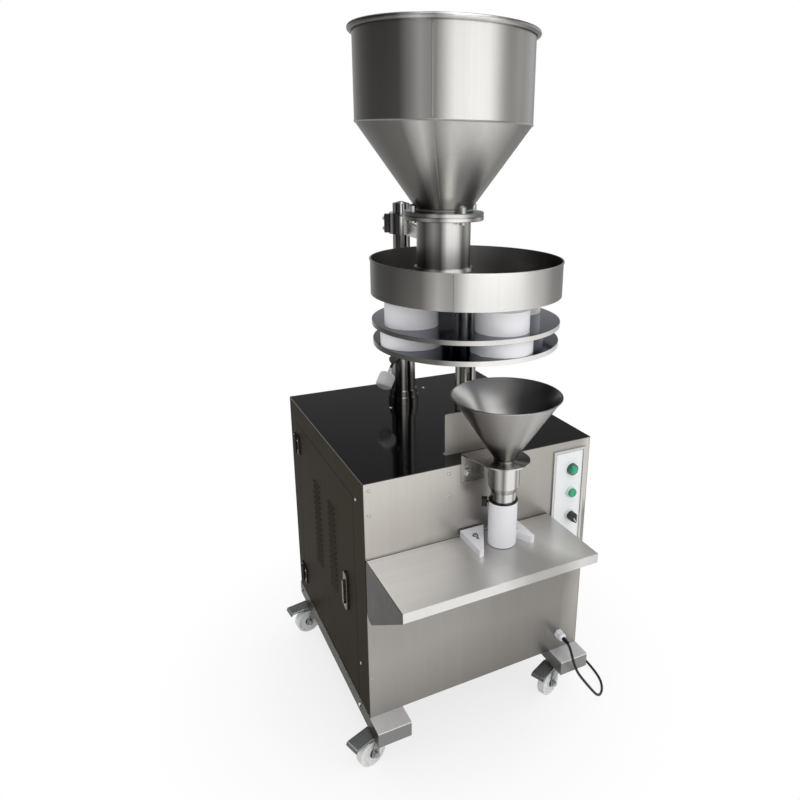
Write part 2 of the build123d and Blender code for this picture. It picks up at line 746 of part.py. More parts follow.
# Upper cup tubes, hung under the bowl
with BuildPart() as measuring_cups:
    with BuildSketch(Plane.XY.offset(CUP_BOTTOM)):
        with Locations(*cup_centres):
            Circle(CUP_OUTER)
            Circle(CUP_INNER, mode=Mode.SUBTRACT)
    extrude(amount=BOWL_BOTTOM - CUP_BOTTOM)
save(measuring_cups, "measuring_cups")

# Rotor shaft with the flanged hub that carries the bowl
with BuildPart() as rotor_shaft:
    turn(
        [
            (0, SHAFT_BOTTOM),
            (SHAFT_RADIUS, SHAFT_BOTTOM),
            (SHAFT_RADIUS, ROTOR_HUB_BOTTOM),
            (ROTOR_HUB_RADIUS, ROTOR_HUB_BOTTOM),
            (ROTOR_HUB_RADIUS, BOWL_BOTTOM - ROTOR_FLANGE),
            (ROTOR_FLANGE_RADIUS, BOWL_BOTTOM - ROTOR_FLANGE),
            (ROTOR_FLANGE_RADIUS, BOWL_BOTTOM),
            (SHAFT_RADIUS, BOWL_BOTTOM),
            (SHAFT_RADIUS, BOWL_BOTTOM + BOWL_FLOOR + SHAFT_RADIUS),
            (0, BOWL_BOTTOM + BOWL_FLOOR + SHAFT_RADIUS),
        ],
        ROTOR,
    )
save(rotor_shaft, "rotor_shaft")


def tray(top, radius, edge, bore):
    """Flat disc with a turned-down rim, in the active part."""
    turn(
        [
            (bore, top - DISC_SHEET),
            (radius - DISC_RIM_WALL, top - DISC_SHEET),
            (radius - DISC_RIM_WALL, top - edge),
            (radius, top - edge),
            (radius, top),
            (bore, top),
        ],
        ROTOR,
    )


# Upper disc, which slides on the rotor hub and carries the lower cup sleeves
cup_bore = CUP_OUTER + SLEEVE_GAP
with BuildPart() as sleeve_disc:
    tray(UPPER_DISC_TOP, UPPER_DISC_RADIUS, UPPER_DISC_EDGE, ROTOR_HUB_RADIUS + RUNNING_FIT)
    turn(
        [
            (ROTOR_HUB_RADIUS + RUNNING_FIT, UPPER_BOSS_BOTTOM),
            (UPPER_BOSS_RADIUS, UPPER_BOSS_BOTTOM),
            (UPPER_BOSS_RADIUS, UPPER_DISC_TOP),
            (ROTOR_HUB_RADIUS + RUNNING_FIT, UPPER_DISC_TOP),
        ],
        ROTOR,
    )
    with BuildSketch(Plane.XY.offset(UPPER_DISC_TOP - UPPER_DISC_EDGE)):
        with Locations(*cup_centres):
            Circle(cup_bore)
    extrude(amount=UPPER_DISC_EDGE, mode=Mode.SUBTRACT)
save(sleeve_disc, "sleeve_disc")

with BuildPart() as cup_sleeves:
    sleeve_foot = LOWER_DISC_TOP + DISC_GAP
    with BuildSketch(Plane.XY.offset(sleeve_foot)):
        with Locations(*cup_centres):
            Circle(CUP_SLEEVE_OUTER)
            Circle(cup_bore, mode=Mode.SUBTRACT)
    extrude(amount=UPPER_DISC_TOP - DISC_SHEET - sleeve_foot)
save(cup_sleeves, "cup_sleeves")

# Lower disc: closes the cups except over the discharge hole in front
discharge_hole = polar(ROTOR, CUP_PITCH_RADIUS, -90)
with BuildPart() as bottom_disc:
    tray(LOWER_DISC_TOP, LOWER_DISC_RADIUS, LOWER_DISC_EDGE, LOWER_EYE_RADIUS)
    turn(
        [
            (HOUSING_RADIUS + RUNNING_FIT, LOWER_BOSS_BOTTOM),
            (LOWER_BOSS_RADIUS, LOWER_BOSS_BOTTOM),
            (LOWER_BOSS_RADIUS, LOWER_DISC_TOP - DISC_SHEET),
            (LOWER_EYE_RADIUS, LOWER_DISC_TOP - DISC_SHEET),
            (LOWER_EYE_RADIUS, LOWER_BOSS_TOP),
            (HOUSING_RADIUS + RUNNING_FIT, LOWER_BOSS_TOP),
        ],
        ROTOR,
    )
    disc(discharge_hole, LOWER_DISC_TOP - CHUTE_DROP, DISCHARGE_HOLE_RADIUS + CHUTE_WALL, CHUTE_DROP)
    disc(discharge_hole, LOWER_DISC_TOP - CHUTE_DROP, DISCHARGE_HOLE_RADIUS, CHUTE_DROP, Mode.SUBTRACT)
save(bottom_disc, "bottom_disc")

# Shaft housing, bolted to the top plate, and its two bearings
with BuildPart() as shaft_housing:
    turn(
        [
            (HOUSING_BORE, HOUSING_BOTTOM),
            (HOUSING_RADIUS, HOUSING_BOTTOM),
            (HOUSING_RADIUS, cabinet_top),
            (HOUSING_FLANGE_RADIUS, cabinet_top),
            (HOUSING_FLANGE_RADIUS, cabinet_top + HOUSING_FLANGE),
            (HOUSING_RADIUS, cabinet_top + HOUSING_FLANGE),
            (HOUSING_RADIUS, HOUSING_TOP),
            (HOUSING_BORE, HOUSING_TOP),
        ],
        ROTOR,
    )
save(shaft_housing, "shaft_housing")

with BuildPart() as shaft_bearings:
    for level in (HOUSING_BOTTOM, HOUSING_TOP - BEARING_HEIGHT):
        turn(
            [
                (SHAFT_RADIUS + RUNNING_FIT, level),
                (HOUSING_BORE, level),
                (HOUSING_BORE, level + BEARING_HEIGHT),
                (SHAFT_RADIUS + RUNNING_FIT, level + BEARING_HEIGHT),
            ],
            ROTOR,
        )
save(shaft_bearings, "shaft_bearings")


def pulley(centre, radius, bore):
    """Flanged belt pulley, in the active part."""
    low = BELT_LEVEL - BELT_GAP
    high = BELT_LEVEL + BELT_HEIGHT + BELT_GAP
    turn(
        [
            (bore, low - PULLEY_FLANGE),
            (radius + PULLEY_LIP, low - PULLEY_FLANGE),
            (radius + PULLEY_LIP, low),
            (radius, low),
            (radius, high),
            (radius + PULLEY_LIP, high),
            (radius + PULLEY_LIP, high + PULLEY_FLANGE),
            (bore, high + PULLEY_FLANGE),
        ],
        centre,
    )


with BuildPart() as driven_pulley:
    pulley(ROTOR, DRIVEN_PULLEY_RADIUS, SHAFT_RADIUS)
    with BuildSketch(Plane.XY.offset(BELT_LEVEL - 2 * PULLEY_FLANGE)):
        with Locations(ROTOR):
            with PolarLocations(DRIVEN_PULLEY_RADIUS * 0.6, 5):
                Circle(DRIVEN_PULLEY_RADIUS * 0.17)
    extrude(amount=BELT_HEIGHT + 4 * PULLEY_FLANGE, mode=Mode.SUBTRACT)
save(driven_pulley, "driven_pulley")

# Drive pulley, made with the gear motor's output shaft
with BuildPart() as drive_pulley:
    pulley(MOTOR_AXIS, DRIVE_PULLEY_RADIUS, MOTOR_SHAFT_RADIUS)
    disc(
        MOTOR_AXIS,
        GEARBOX_TOP - GEARBOX_HEIGHT / 2,
        MOTOR_SHAFT_RADIUS,
        BELT_LEVEL + BELT_HEIGHT + 2 * PULLEY_FLANGE - GEARBOX_TOP + GEARBOX_HEIGHT / 2,
    )
save(drive_pulley, "drive_pulley")


def belt_loop(gap):
    """Hull round both pulleys at a gap from their treads."""
    with BuildSketch(Plane.XY.offset(BELT_LEVEL)) as loop:
        with Locations(ROTOR):
            Circle(DRIVEN_PULLEY_RADIUS + gap)
        with Locations(MOTOR_AXIS):
            Circle(DRIVE_PULLEY_RADIUS + gap)
        make_hull()
    return loop.sketch


with BuildPart() as drive_belt:
    extrude(belt_loop(BELT_GAP + BELT_THICK), amount=BELT_HEIGHT)
    extrude(belt_loop(BELT_GAP), amount=BELT_HEIGHT, mode=Mode.SUBTRACT)
save(drive_belt, "drive_belt")

# Worm gear motor on the bridge
with BuildPart() as gear_motor:
    gearbox_mid = GEARBOX_TOP - GEARBOX_HEIGHT / 2
    slab(Plane.XY.offset(stand_top), MOTOR_AXIS, (GEARBOX_WIDTH, GEARBOX_LENGTH), GEARBOX_HEIGHT)
    fillet(gear_motor.edges().filter_by(Axis.Y), 12)
    motor_face = Plane(
        origin=(MOTOR_AXIS[0], MOTOR_AXIS[1] + GEARBOX_LENGTH / 2, gearbox_mid + GEARBOX_HEIGHT / 8),
        x_dir=(1, 0, 0),
        z_dir=(0, 1, 0),
    )
    with BuildSketch(motor_face):
        Circle(MOTOR_RADIUS * 1.08)
    extrude(amount=10)
    with BuildSketch(motor_face.offset(10)):
        Circle(MOTOR_RADIUS)
    extrude(amount=MOTOR_LENGTH)
    fillet(gear_motor.faces().sort_by(Axis.Y)[-1].edges(), 8)
    disc(MOTOR_AXIS, GEARBOX_TOP, MOTOR_SHAFT_RADIUS * 2.2, 4)
    disc(
        MOTOR_AXIS,
        gearbox_mid,
        MOTOR_SHAFT_RADIUS + RUNNING_FIT,
        GEARBOX_HEIGHT / 2 + 4,
        Mode.SUBTRACT,
    )
save(gear_motor, "gear_motor")

# Electrical plate on standoffs at the right wall, with its units
board_x = half_width - SHEET - BOARD_STANDOFF
with BuildPart() as electrical_board:
    board_y, board_z = BOARD_CENTRE
    board_face = Plane(origin=(board_x, board_y, board_z), x_dir=(0, 1, 0), z_dir=(-1, 0, 0))
    slab(board_face, (0, 0), (BOARD_WIDTH, BOARD_HEIGHT), BOARD_SHEET)
    with BuildSketch(board_face):
        with GridLocations(BOARD_WIDTH - 24, BOARD_HEIGHT - 24, 2, 2):
            Circle(4)
    extrude(amount=-BOARD_STANDOFF)
    unit_face = board_face.offset(BOARD_SHEET)
    for unit_centre, unit_size, unit_depth, unit_edge in BOARD_UNITS:
        slab(unit_face, unit_centre, unit_size, unit_depth, unit_edge)
save(electrical_board, "electrical_board")

# Column tube: base rings, tube and the two bushes that guide the mast
column_foot = cabinet_top
mast_bore = MAST_RADIUS + RUNNING_FIT
column_bore = COLUMN_RADIUS - COLUMN_WALL
low_bush = column_foot + COLUMN_RING_HEIGHT
with BuildPart() as column_tube:
    turn(
        [
            (column_bore, column_foot),
            (COLUMN_BASE_RADIUS, column_foot),
            (COLUMN_BASE_RADIUS, column_foot + COLUMN_BASE_HEIGHT),
            (COLUMN_RING_RADIUS, column_foot + COLUMN_BASE_HEIGHT),
            (COLUMN_RING_RADIUS, column_foot + COLUMN_RING_HEIGHT),
            (COLUMN_RADIUS, column_foot + COLUMN_RING_HEIGHT),
            (COLUMN_RADIUS, COLUMN_TOP),
            (mast_bore, COLUMN_TOP),
            (mast_bore, COLUMN_TOP - BUSH_HEIGHT),
            (column_bore, COLUMN_TOP - BUSH_HEIGHT),
            (column_bore, low_bush + BUSH_HEIGHT),
            (mast_bore, low_bush + BUSH_HEIGHT),
            (mast_bore, low_bush),
            (column_bore, low_bush),
        ],
        COLUMN,
    )
    lever_out = Vector(1, 0, 0).rotate(Axis.Z, LEVER_DIRECTION)
    lever_plane = Plane(origin=(*COLUMN, LEVER_HEIGHT), x_dir=(0, 0, 1), z_dir=lever_out)
    with BuildSketch(lever_plane):
        Circle(LEVER_SCREW_RADIUS + RUNNING_FIT)
    extrude(amount=COLUMN_RADIUS + COLUMN_WALL, mode=Mode.SUBTRACT)
save(column_tube, "column_tube")

# Mast: the sliding inner tube with its cap
with BuildPart() as mast:
    turn(
        [
            (MAST_RADIUS - MAST_WALL, MAST_BOTTOM),
            (MAST_RADIUS, MAST_BOTTOM),
            (MAST_RADIUS, MAST_TOP),
            (0, MAST_TOP + MAST_CAP),
            (0, MAST_TOP - MAST_CAP),
            (MAST_RADIUS - MAST_WALL, MAST_TOP - MAST_CAP),
        ],
        COLUMN,
    )
save(mast, "mast")

# Clamp lever: screw, boss, sloping rod and round grip
with BuildPart() as clamp_lever:
    with BuildSketch(lever_plane.offset(MAST_RADIUS + CONTROL_GAP)):
        Circle(LEVER_SCREW_RADIUS)
    extrude(amount=COLUMN_RADIUS - MAST_RADIUS + 2)
    with BuildSketch(lever_plane.offset(COLUMN_RADIUS + CONTROL_GAP)):
        Circle(LEVER_BOSS_RADIUS)
    extrude(amount=LEVER_BOSS_LENGTH)
    slope = math.radians(LEVER_SLOPE)
    rod_direction = lever_out * math.cos(slope) - Vector(0, 0, 1) * math.sin(slope)
    rod_start = Vector(*COLUMN, LEVER_HEIGHT) + lever_out * (COLUMN_RADIUS + LEVER_BOSS_LENGTH / 2)
    rod_plane = Plane(origin=rod_start, z_dir=rod_direction)
    with BuildSketch(rod_plane):
        Circle(LEVER_ROD_RADIUS)
    extrude(amount=LEVER_ROD_LENGTH)
    with BuildSketch(rod_plane.offset(LEVER_ROD_LENGTH - GRIP_LENGTH / 3)):
        Circle(GRIP_RADIUS)
    extrude(amount=GRIP_LENGTH)
    fillet(clamp_lever.edges().filter_by(GeomType.CIRCLE).sort_by(SortBy.RADIUS)[-2:], GRIP_RADIUS / 3)
save(clamp_lever, "clamp_lever")

# Hopper arm: split clamp on the mast, braced web and a saddle on the neck
arm_vector = Vector(HOPPER[0] - COLUMN[0], HOPPER[1] - COLUMN[1], 0)
arm_length = arm_vector.length
arm_plane = Plane(origin=(*COLUMN, 0), x_dir=arm_vector, z_dir=(0, 0, 1))
arm_side = Plane(origin=(*COLUMN, 0), x_dir=arm_vector, z_dir=arm_vector.cross(Vector(0, 0, 1)))
clamp_radius = MAST_RADIUS + CLAMP_WALL
saddle_low = CLAMP_TOP + ARM_STRAP - SADDLE_HEIGHT
saddle_outer = NECK_RADIUS + SADDLE_WALL
with BuildPart() as hopper_arm:
    disc(COLUMN, CLAMP_BOTTOM, clamp_radius, CLAMP_TOP - CLAMP_BOTTOM)
    slab(
        arm_plane.offset(CLAMP_BOTTOM),
        (-clamp_radius - CLAMP_EAR / 3, 0),
        (CLAMP_EAR * 1.4, 3 * CLAMP_WALL),
        CLAMP_TOP - CLAMP_BOTTOM,
        2,
    )
    with BuildSketch(arm_side.offset(-ARM_WEB / 2)) as web:
        with BuildLine():
            Polyline(
                (clamp_radius - CLAMP_WALL / 2, CLAMP_BOTTOM),
                (arm_length - NECK_RADIUS - SADDLE_WALL / 2, saddle_low),
                (arm_length - NECK_RADIUS - SADDLE_WALL / 2, CLAMP_TOP),
                (clamp_radius - CLAMP_WALL / 2, CLAMP_TOP),
                close=True,
            )
        make_face()
        with BuildLine():
            Polyline(
                (clamp_radius + ARM_WINDOW, CLAMP_TOP - ARM_WINDOW),
                (arm_length - saddle_outer - ARM_WINDOW, CLAMP_TOP - ARM_WINDOW),
                (arm_length - saddle_outer - ARM_WINDOW, CLAMP_BOTTOM + ARM_WINDOW * 1.4),
                close=True,
            )
        make_face(mode=Mode.SUBTRACT)
    extrude(web.sketch, amount=ARM_WEB)
    strap_mid, strap_long = span(clamp_radius - CLAMP_WALL / 2, arm_length - NECK_RADIUS - SADDLE_WALL / 2)
    slab(arm_plane.offset(CLAMP_TOP - ARM_STRAP), (strap_mid, 0), (strap_long, ARM_STRAP_WIDTH), ARM_STRAP)
    neck_side = math.degrees(math.atan2(-arm_vector.Y, -arm_vector.X))
    with BuildSketch(Plane.XY.offset(saddle_low)) as saddle:
        with BuildLine():
            wide = SADDLE_HALF_ANGLE
            inner_arc = CenterArc(HOPPER, NECK_RADIUS, neck_side - wide, 2 * wide)
            outer_arc = CenterArc(HOPPER, saddle_outer, neck_side - wide, 2 * wide)
            Line(inner_arc @ 0, outer_arc @ 0)
            Line(inner_arc @ 1, outer_arc @ 1)
        make_face()
    extrude(saddle.sketch, amount=SADDLE_HEIGHT)
    disc(HOPPER, CLAMP_BOTTOM - SADDLE_HEIGHT, NECK_RADIUS, 3 * SADDLE_HEIGHT, Mode.SUBTRACT)
    disc(COLUMN, CLAMP_BOTTOM, mast_bore, CLAMP_TOP - CLAMP_BOTTOM, Mode.SUBTRACT)
    slab(
        arm_plane.offset(CLAMP_BOTTOM),
        (-clamp_radius - CLAMP_EAR / 2, 0),
        (CLAMP_EAR * 2 + 2 * CLAMP_WALL, 2),
        CLAMP_TOP - CLAMP_BOTTOM,
        mode=Mode.SUBTRACT,
    )
save(hopper_arm, "hopper_arm")

# Feed neck: tube, top flange and the level ring clamped at its foot
with BuildPart() as hopper_neck:
    turn(
        [
            (NECK_RADIUS - NECK_WALL, NECK_BOTTOM),
            (LEVEL_RING_RADIUS, NECK_BOTTOM),
            (LEVEL_RING_RADIUS - NECK_WALL, NECK_BOTTOM + LEVEL_RING_HEIGHT),
            (NECK_RADIUS, NECK_BOTTOM + LEVEL_RING_HEIGHT),
            (NECK_RADIUS, FLANGE_FACE - FLANGE_THICK),
            (FLANGE_RADIUS - FLANGE_CHAMFER, FLANGE_FACE - FLANGE_THICK),
            (FLANGE_RADIUS, FLANGE_FACE - FLANGE_THICK + FLANGE_CHAMFER),
            (FLANGE_RADIUS, FLANGE_FACE - FLANGE_CHAMFER),
            (FLANGE_RADIUS - FLANGE_CHAMFER, FLANGE_FACE),
            (NECK_RADIUS - NECK_WALL, FLANGE_FACE),
        ],
        HOPPER,
    )
    bolt_spots = [polar(HOPPER, BOLT_PITCH_RADIUS, ROTOR_REST_ANGLE + 90 * k) for k in range(4)]
    with BuildSketch(Plane.XY.offset(FLANGE_FACE - FLANGE_THICK)):
        with Locations(*bolt_spots):
            Circle(BOLT_RADIUS)
    extrude(amount=FLANGE_THICK, mode=Mode.SUBTRACT)
save(hopper_neck, "hopper_neck")

# Hopper shell: spigot flange, cone, cylinder and rolled rim
hopper_bore = HOPPER_RADIUS - HOPPER_WALL
throat = NECK_RADIUS - NECK_WALL
with BuildPart() as hopper_shell:
    turn(
        [
            (throat, FLANGE_FACE),
            (FLANGE_RADIUS - FLANGE_CHAMFER, FLANGE_FACE),
            (FLANGE_RADIUS, FLANGE_FACE + FLANGE_CHAMFER),
            (FLANGE_RADIUS, FLANGE_FACE + FLANGE_THICK - FLANGE_CHAMFER),
            (FLANGE_RADIUS - FLANGE_CHAMFER, FLANGE_FACE + FLANGE_THICK),
            (NECK_RADIUS, FLANGE_FACE + FLANGE_THICK),
            (NECK_RADIUS, CONE_BOTTOM),
            (HOPPER_RADIUS, HOPPER_JOINT),
            (HOPPER_RADIUS, HOPPER_RIM - HOPPER_BEAD),
            (hopper_bore, HOPPER_RIM - HOPPER_BEAD),
            (hopper_bore, HOPPER_JOINT),
            (throat, CONE_BOTTOM),
        ],
        HOPPER,
    )
    with BuildSketch(Plane(origin=(*HOPPER, 0), x_dir=(1, 0, 0), z_dir=(0, -1, 0))):
        with Locations((HOPPER_RADIUS + HOPPER_BEAD - HOPPER_WALL, HOPPER_RIM - HOPPER_BEAD)):
            Circle(HOPPER_BEAD)
    revolve(axis=Axis((*HOPPER, 0), (0, 0, 1)))
    with BuildSketch(Plane.XY.offset(FLANGE_FACE)):
        with Locations(*bolt_spots):
            Circle(BOLT_RADIUS)
    extrude(amount=FLANGE_THICK, mode=Mode.SUBTRACT)
save(hopper_shell, "hopper_shell")

# Flange bolts with tall cap nuts
with BuildPart() as flange_bolts:
    for spot in bolt_spots:
        turn(
            [
                (0, FLANGE_FACE - FLANGE_THICK - BOLT_HEAD),
                (NUT_RADIUS, FLANGE_FACE - FLANGE_THICK - BOLT_HEAD),
                (NUT_RADIUS, FLANGE_FACE - FLANGE_THICK),
                (BOLT_RADIUS, FLANGE_FACE - FLANGE_THICK),
                (BOLT_RADIUS, FLANGE_FACE + FLANGE_THICK),
                (NUT_RADIUS, FLANGE_FACE + FLANGE_THICK),
                (NUT_RADIUS, FLANGE_FACE + FLANGE_THICK + NUT_HEIGHT * 0.75),
                (NUT_RADIUS * 0.55, FLANGE_FACE + FLANGE_THICK + NUT_HEIGHT),
                (0, FLANGE_FACE + FLANGE_THICK + NUT_HEIGHT),
            ],
            spot,
        )
save(flange_bolts, "flange_bolts")

# Door: pan with folded edges and two columns of louvres
louvre_levels = [LOUVRE_BOTTOM + LOUVRE_PITCH * k for k in range(LOUVRE_COUNT)]
louvre_spots = [(-y, z) for y in LOUVRE_COLUMNS for z in louvre_levels]
with BuildPart() as door_panel:
    with BuildSketch(left_plane):
        with Locations((-door_mid_y, door_mid_z)):
            Rectangle(door_wide, door_tall)
        with Locations((-latch_y, LATCH_PIVOT)):
            Circle(LATCH_SHAFT_RADIUS + CONTROL_GAP, mode=Mode.SUBTRACT)
    extrude(amount=-SHEET)
    with BuildSketch(left_plane):
        with Locations((-door_mid_y, door_mid_z)):
            Rectangle(door_wide, door_tall)
            Rectangle(door_wide - 2 * SHEET, door_tall - 2 * SHEET, mode=Mode.SUBTRACT)
    extrude(amount=-DOOR_FOLD)
    with BuildSketch(left_plane):
        with Locations(*louvre_spots):
            SlotOverall(LOUVRE_LENGTH, LOUVRE_WIDTH)
    extrude(amount=-SHEET, mode=Mode.SUBTRACT)
    for spot_y, spot_z in louvre_spots:
        with BuildSketch(Plane(origin=(0, -spot_y - LOUVRE_LENGTH / 2, 0), x_dir=(1, 0, 0), z_dir=(0, -1, 0))) as lip:
            with BuildLine():
                top_z = spot_z + LOUVRE_WIDTH / 2
                Polyline(
                    (-half_width + SHEET, top_z),
                    (-half_width - LOUVRE_HOOD + SHEET, spot_z - LOUVRE_WIDTH / 2),
                    (-half_width - LOUVRE_HOOD, spot_z - LOUVRE_WIDTH / 2),
                    (-half_width, top_z + SHEET),
                    (-half_width + SHEET, top_z + SHEET),
                    close=True,
                )
            make_face()
        extrude(lip.sketch, amount=-LOUVRE_LENGTH)
save(door_panel, "door_panel")

# Hinges: a knuckle with its pin on the frame, and two bored knuckles on the door
hinge_x = -half_width - HINGE_STANDOFF
hinge_y = door_rear + DOOR_GAP / 2
knuckle = HINGE_LENGTH / 3
knuckle_clear = HINGE_KNUCKLE_RADIUS + HINGE_PLAY


def hinge_leaf(level, side):
    """One leaf strip, lying on the side sheet, that reaches the knuckle line, in the active part."""
    leaf_mid, leaf_wide = span(HINGE_KNUCKLE_RADIUS * 0.6, HINGE_LEAF)
    slab(
        Plane.XY.offset(level - HINGE_LENGTH / 2),
        (-half_width - HINGE_LEAF_THICK / 2, hinge_y + side * leaf_mid),
        (HINGE_LEAF_THICK, leaf_wide),
        HINGE_LENGTH,
    )


with BuildPart() as frame_hinges:
    for level in HINGE_LEVELS:
        hinge_leaf(level, 1)
        disc((hinge_x, hinge_y), level - knuckle / 2, knuckle_clear, knuckle, Mode.SUBTRACT)
        for low in (-HINGE_LENGTH / 2, HINGE_LENGTH / 2 - knuckle):
            disc((hinge_x, hinge_y), level + low, HINGE_KNUCKLE_RADIUS, knuckle)
        disc((hinge_x, hinge_y), level - HINGE_LENGTH / 2, HINGE_PIN_RADIUS, HINGE_LENGTH)
save(frame_hinges, "frame_hinges")

with BuildPart() as door_hinges:
    for level in HINGE_LEVELS:
        low = -knuckle / 2 + HINGE_PLAY
        end_band = HINGE_LENGTH / 2 + low
        hinge_leaf(level, -1)
        for start in (-HINGE_LENGTH / 2, HINGE_LENGTH / 2 - end_band):
            disc((hinge_x, hinge_y), level + start, knuckle_clear, end_band, Mode.SUBTRACT)
        disc((hinge_x, hinge_y), level + low, HINGE_KNUCKLE_RADIUS, knuckle - 2 * HINGE_PLAY)
        disc(
            (hinge_x, hinge_y),
            level - HINGE_LENGTH / 2,
            HINGE_PIN_RADIUS + RUNNING_FIT,
            HINGE_LENGTH,
            Mode.SUBTRACT,
        )
save(door_hinges, "door_hinges")

# Latch: housing plate on the door, and the handle bar with its shaft and cam
latch_face = Plane(origin=(-half_width, latch_y, 0), x_dir=(0, -1, 0), z_dir=(-1, 0, 0))
with BuildPart() as latch_housing:
    with BuildSketch(latch_face):
        with Locations((0, LATCH_LEVEL)):
            RectangleRounded(LATCH_WIDTH, LATCH_LENGTH, LATCH_WIDTH / 2 - 1)
        with Locations((0, LATCH_PIVOT)):
            Circle(LATCH_SHAFT_RADIUS + RUNNING_FIT, mode=Mode.SUBTRACT)
    extrude(amount=LATCH_THICK)
    fillet(latch_housing.faces().sort_by(Axis.X)[0].outer_wire().edges(), 2)
save(latch_housing, "latch_housing")

with BuildPart() as latch_handle:
    bar_top = LATCH_PIVOT + LATCH_BAR_WIDTH / 2
    with BuildSketch(latch_face.offset(LATCH_THICK + CONTROL_GAP)):
        with Locations((0, bar_top - LATCH_BAR_LENGTH / 2)):
            RectangleRounded(LATCH_BAR_WIDTH, LATCH_BAR_LENGTH, LATCH_BAR_WIDTH / 2 - 0.5)
    extrude(amount=LATCH_BAR_THICK)
    cam_depth = DOOR_FOLD + LATCH_CAM_GAP
    with BuildSketch(latch_face.offset(LATCH_THICK + CONTROL_GAP)):
        with Locations((0, LATCH_PIVOT)):
            Circle(LATCH_SHAFT_RADIUS)
    extrude(amount=-(LATCH_THICK + CONTROL_GAP + cam_depth + LATCH_CAM_THICK))
    with BuildSketch(latch_face.offset(-cam_depth)):
        with Locations((0, LATCH_PIVOT - LATCH_CAM_LENGTH / 2 + LATCH_CAM_WIDTH / 2)):
            RectangleRounded(LATCH_CAM_WIDTH, LATCH_CAM_LENGTH, LATCH_CAM_WIDTH / 3)
    extrude(amount=-LATCH_CAM_THICK)
save(latch_handle, "latch_handle")

# Control panel: label plate inside a raised frame
panel_mid_x, panel_wide = span(PANEL_LEFT, PANEL_RIGHT)
control_mid_z, control_tall = span(PANEL_BOTTOM, PANEL_TOP)
control_spots = [(CONTROL_X, level) for level in (LAMP_LEVEL, BUTTON_LEVEL, SELECTOR_LEVEL)]
with BuildPart() as control_panel:
    with BuildSketch(front_plane):
        with Locations((panel_mid_x, control_mid_z)):
            Rectangle(panel_wide, control_tall)
        with Locations(*control_spots):
            Circle(CONTROL_BODY_RADIUS + CONTROL_GAP, mode=Mode.SUBTRACT)
    extrude(amount=PANEL_SHEET)
    with BuildSketch(front_plane.offset(PANEL_SHEET)):
        with Locations((panel_mid_x, control_mid_z)):
            RectangleRounded(panel_wide, control_tall, 2)
            Rectangle(panel_wide - 2 * PANEL_FRAME, control_tall - 2 * PANEL_FRAME, mode=Mode.SUBTRACT)
    extrude(amount=PANEL_PROUD - PANEL_SHEET)
save(control_panel, "control_panel")

# Indicator lamp
control_face = front_plane.offset(PANEL_SHEET)
with BuildPart() as indicator_lamp:
    with BuildSketch(control_face):
        with Locations((CONTROL_X, LAMP_LEVEL)):
            Circle(LAMP_RADIUS)
    extrude(amount=LAMP_HEIGHT * 0.6, taper=8)
    with BuildSketch(control_face.offset(LAMP_HEIGHT * 0.6)):
        with Locations((CONTROL_X, LAMP_LEVEL)):
            Circle(LENS_RADIUS)
    extrude(amount=LAMP_HEIGHT * 0.4, taper=25)
    with BuildSketch(control_face):
        with Locations((CONTROL_X, LAMP_LEVEL)):
            Circle(CONTROL_BODY_RADIUS)
    extrude(amount=-CONTROL_BODY_DEPTH)
save(indicator_lamp, "indicator_lamp")

# Bezels with their bodies for the push button and the selector
with BuildPart() as control_bezels:
    for level in (BUTTON_LEVEL, SELECTOR_LEVEL):
        with BuildSketch(control_face) as ring:
            with Locations((CONTROL_X, level)):
                Circle(BEZEL_RADIUS)
        extrude(ring.sketch, amount=BEZEL_HEIGHT, taper=6)
        with BuildSketch(control_face) as body:
            with Locations((CONTROL_X, level)):
                Circle(CONTROL_BODY_RADIUS)
        extrude(body.sketch, amount=-CONTROL_BODY_DEPTH)
    with BuildSketch(control_face) as well:
        with Locations((CONTROL_X, BUTTON_LEVEL)):
            Circle(BUTTON_RADIUS + CONTROL_GAP)
    extrude(well.sketch, amount=2 * BEZEL_HEIGHT, mode=Mode.SUBTRACT)
    with BuildSketch(control_face.offset(BEZEL_HEIGHT / 2)) as socket:
        with Locations((CONTROL_X, SELECTOR_LEVEL)):
            Circle(CONTROL_BODY_RADIUS / 2 + RUNNING_FIT)
    extrude(socket.sketch, amount=BEZEL_HEIGHT, mode=Mode.SUBTRACT)
save(control_bezels, "control_bezels")

with BuildPart() as push_button:
    button_seat = BUTTON_TRAVEL + CONTROL_GAP
    with BuildSketch(control_face.offset(button_seat)):
        with Locations((CONTROL_X, BUTTON_LEVEL)):
            Circle(BUTTON_RADIUS)
    extrude(amount=BEZEL_HEIGHT + BUTTON_PROUD - button_seat)
    fillet(push_button.faces().sort_by(Axis.Y)[0].edges(), 2)
save(push_button, "push_button")

# Selector knob with a teardrop pointer
with BuildPart() as selector_knob:
    with BuildSketch(control_face.offset(BEZEL_HEIGHT + CONTROL_GAP)) as drop:
        with Locations((CONTROL_X, SELECTOR_LEVEL)):
            Circle(SELECTOR_RADIUS)
        tip = polar((CONTROL_X, SELECTOR_LEVEL), SELECTOR_TIP, SELECTOR_ANGLE)
        with Locations(tip):
            Circle(2)
        make_hull()
    extrude(drop.sketch, amount=SELECTOR_HEIGHT)
    with BuildSketch(control_face.offset(BEZEL_HEIGHT / 2 + CONTROL_GAP)) as stem:
        with Locations((CONTROL_X, SELECTOR_LEVEL)):
            Circle(CONTROL_BODY_RADIUS / 2)
    extrude(stem.sketch, amount=BEZEL_HEIGHT / 2 + CONTROL_GAP)
save(selector_knob, "selector_knob")

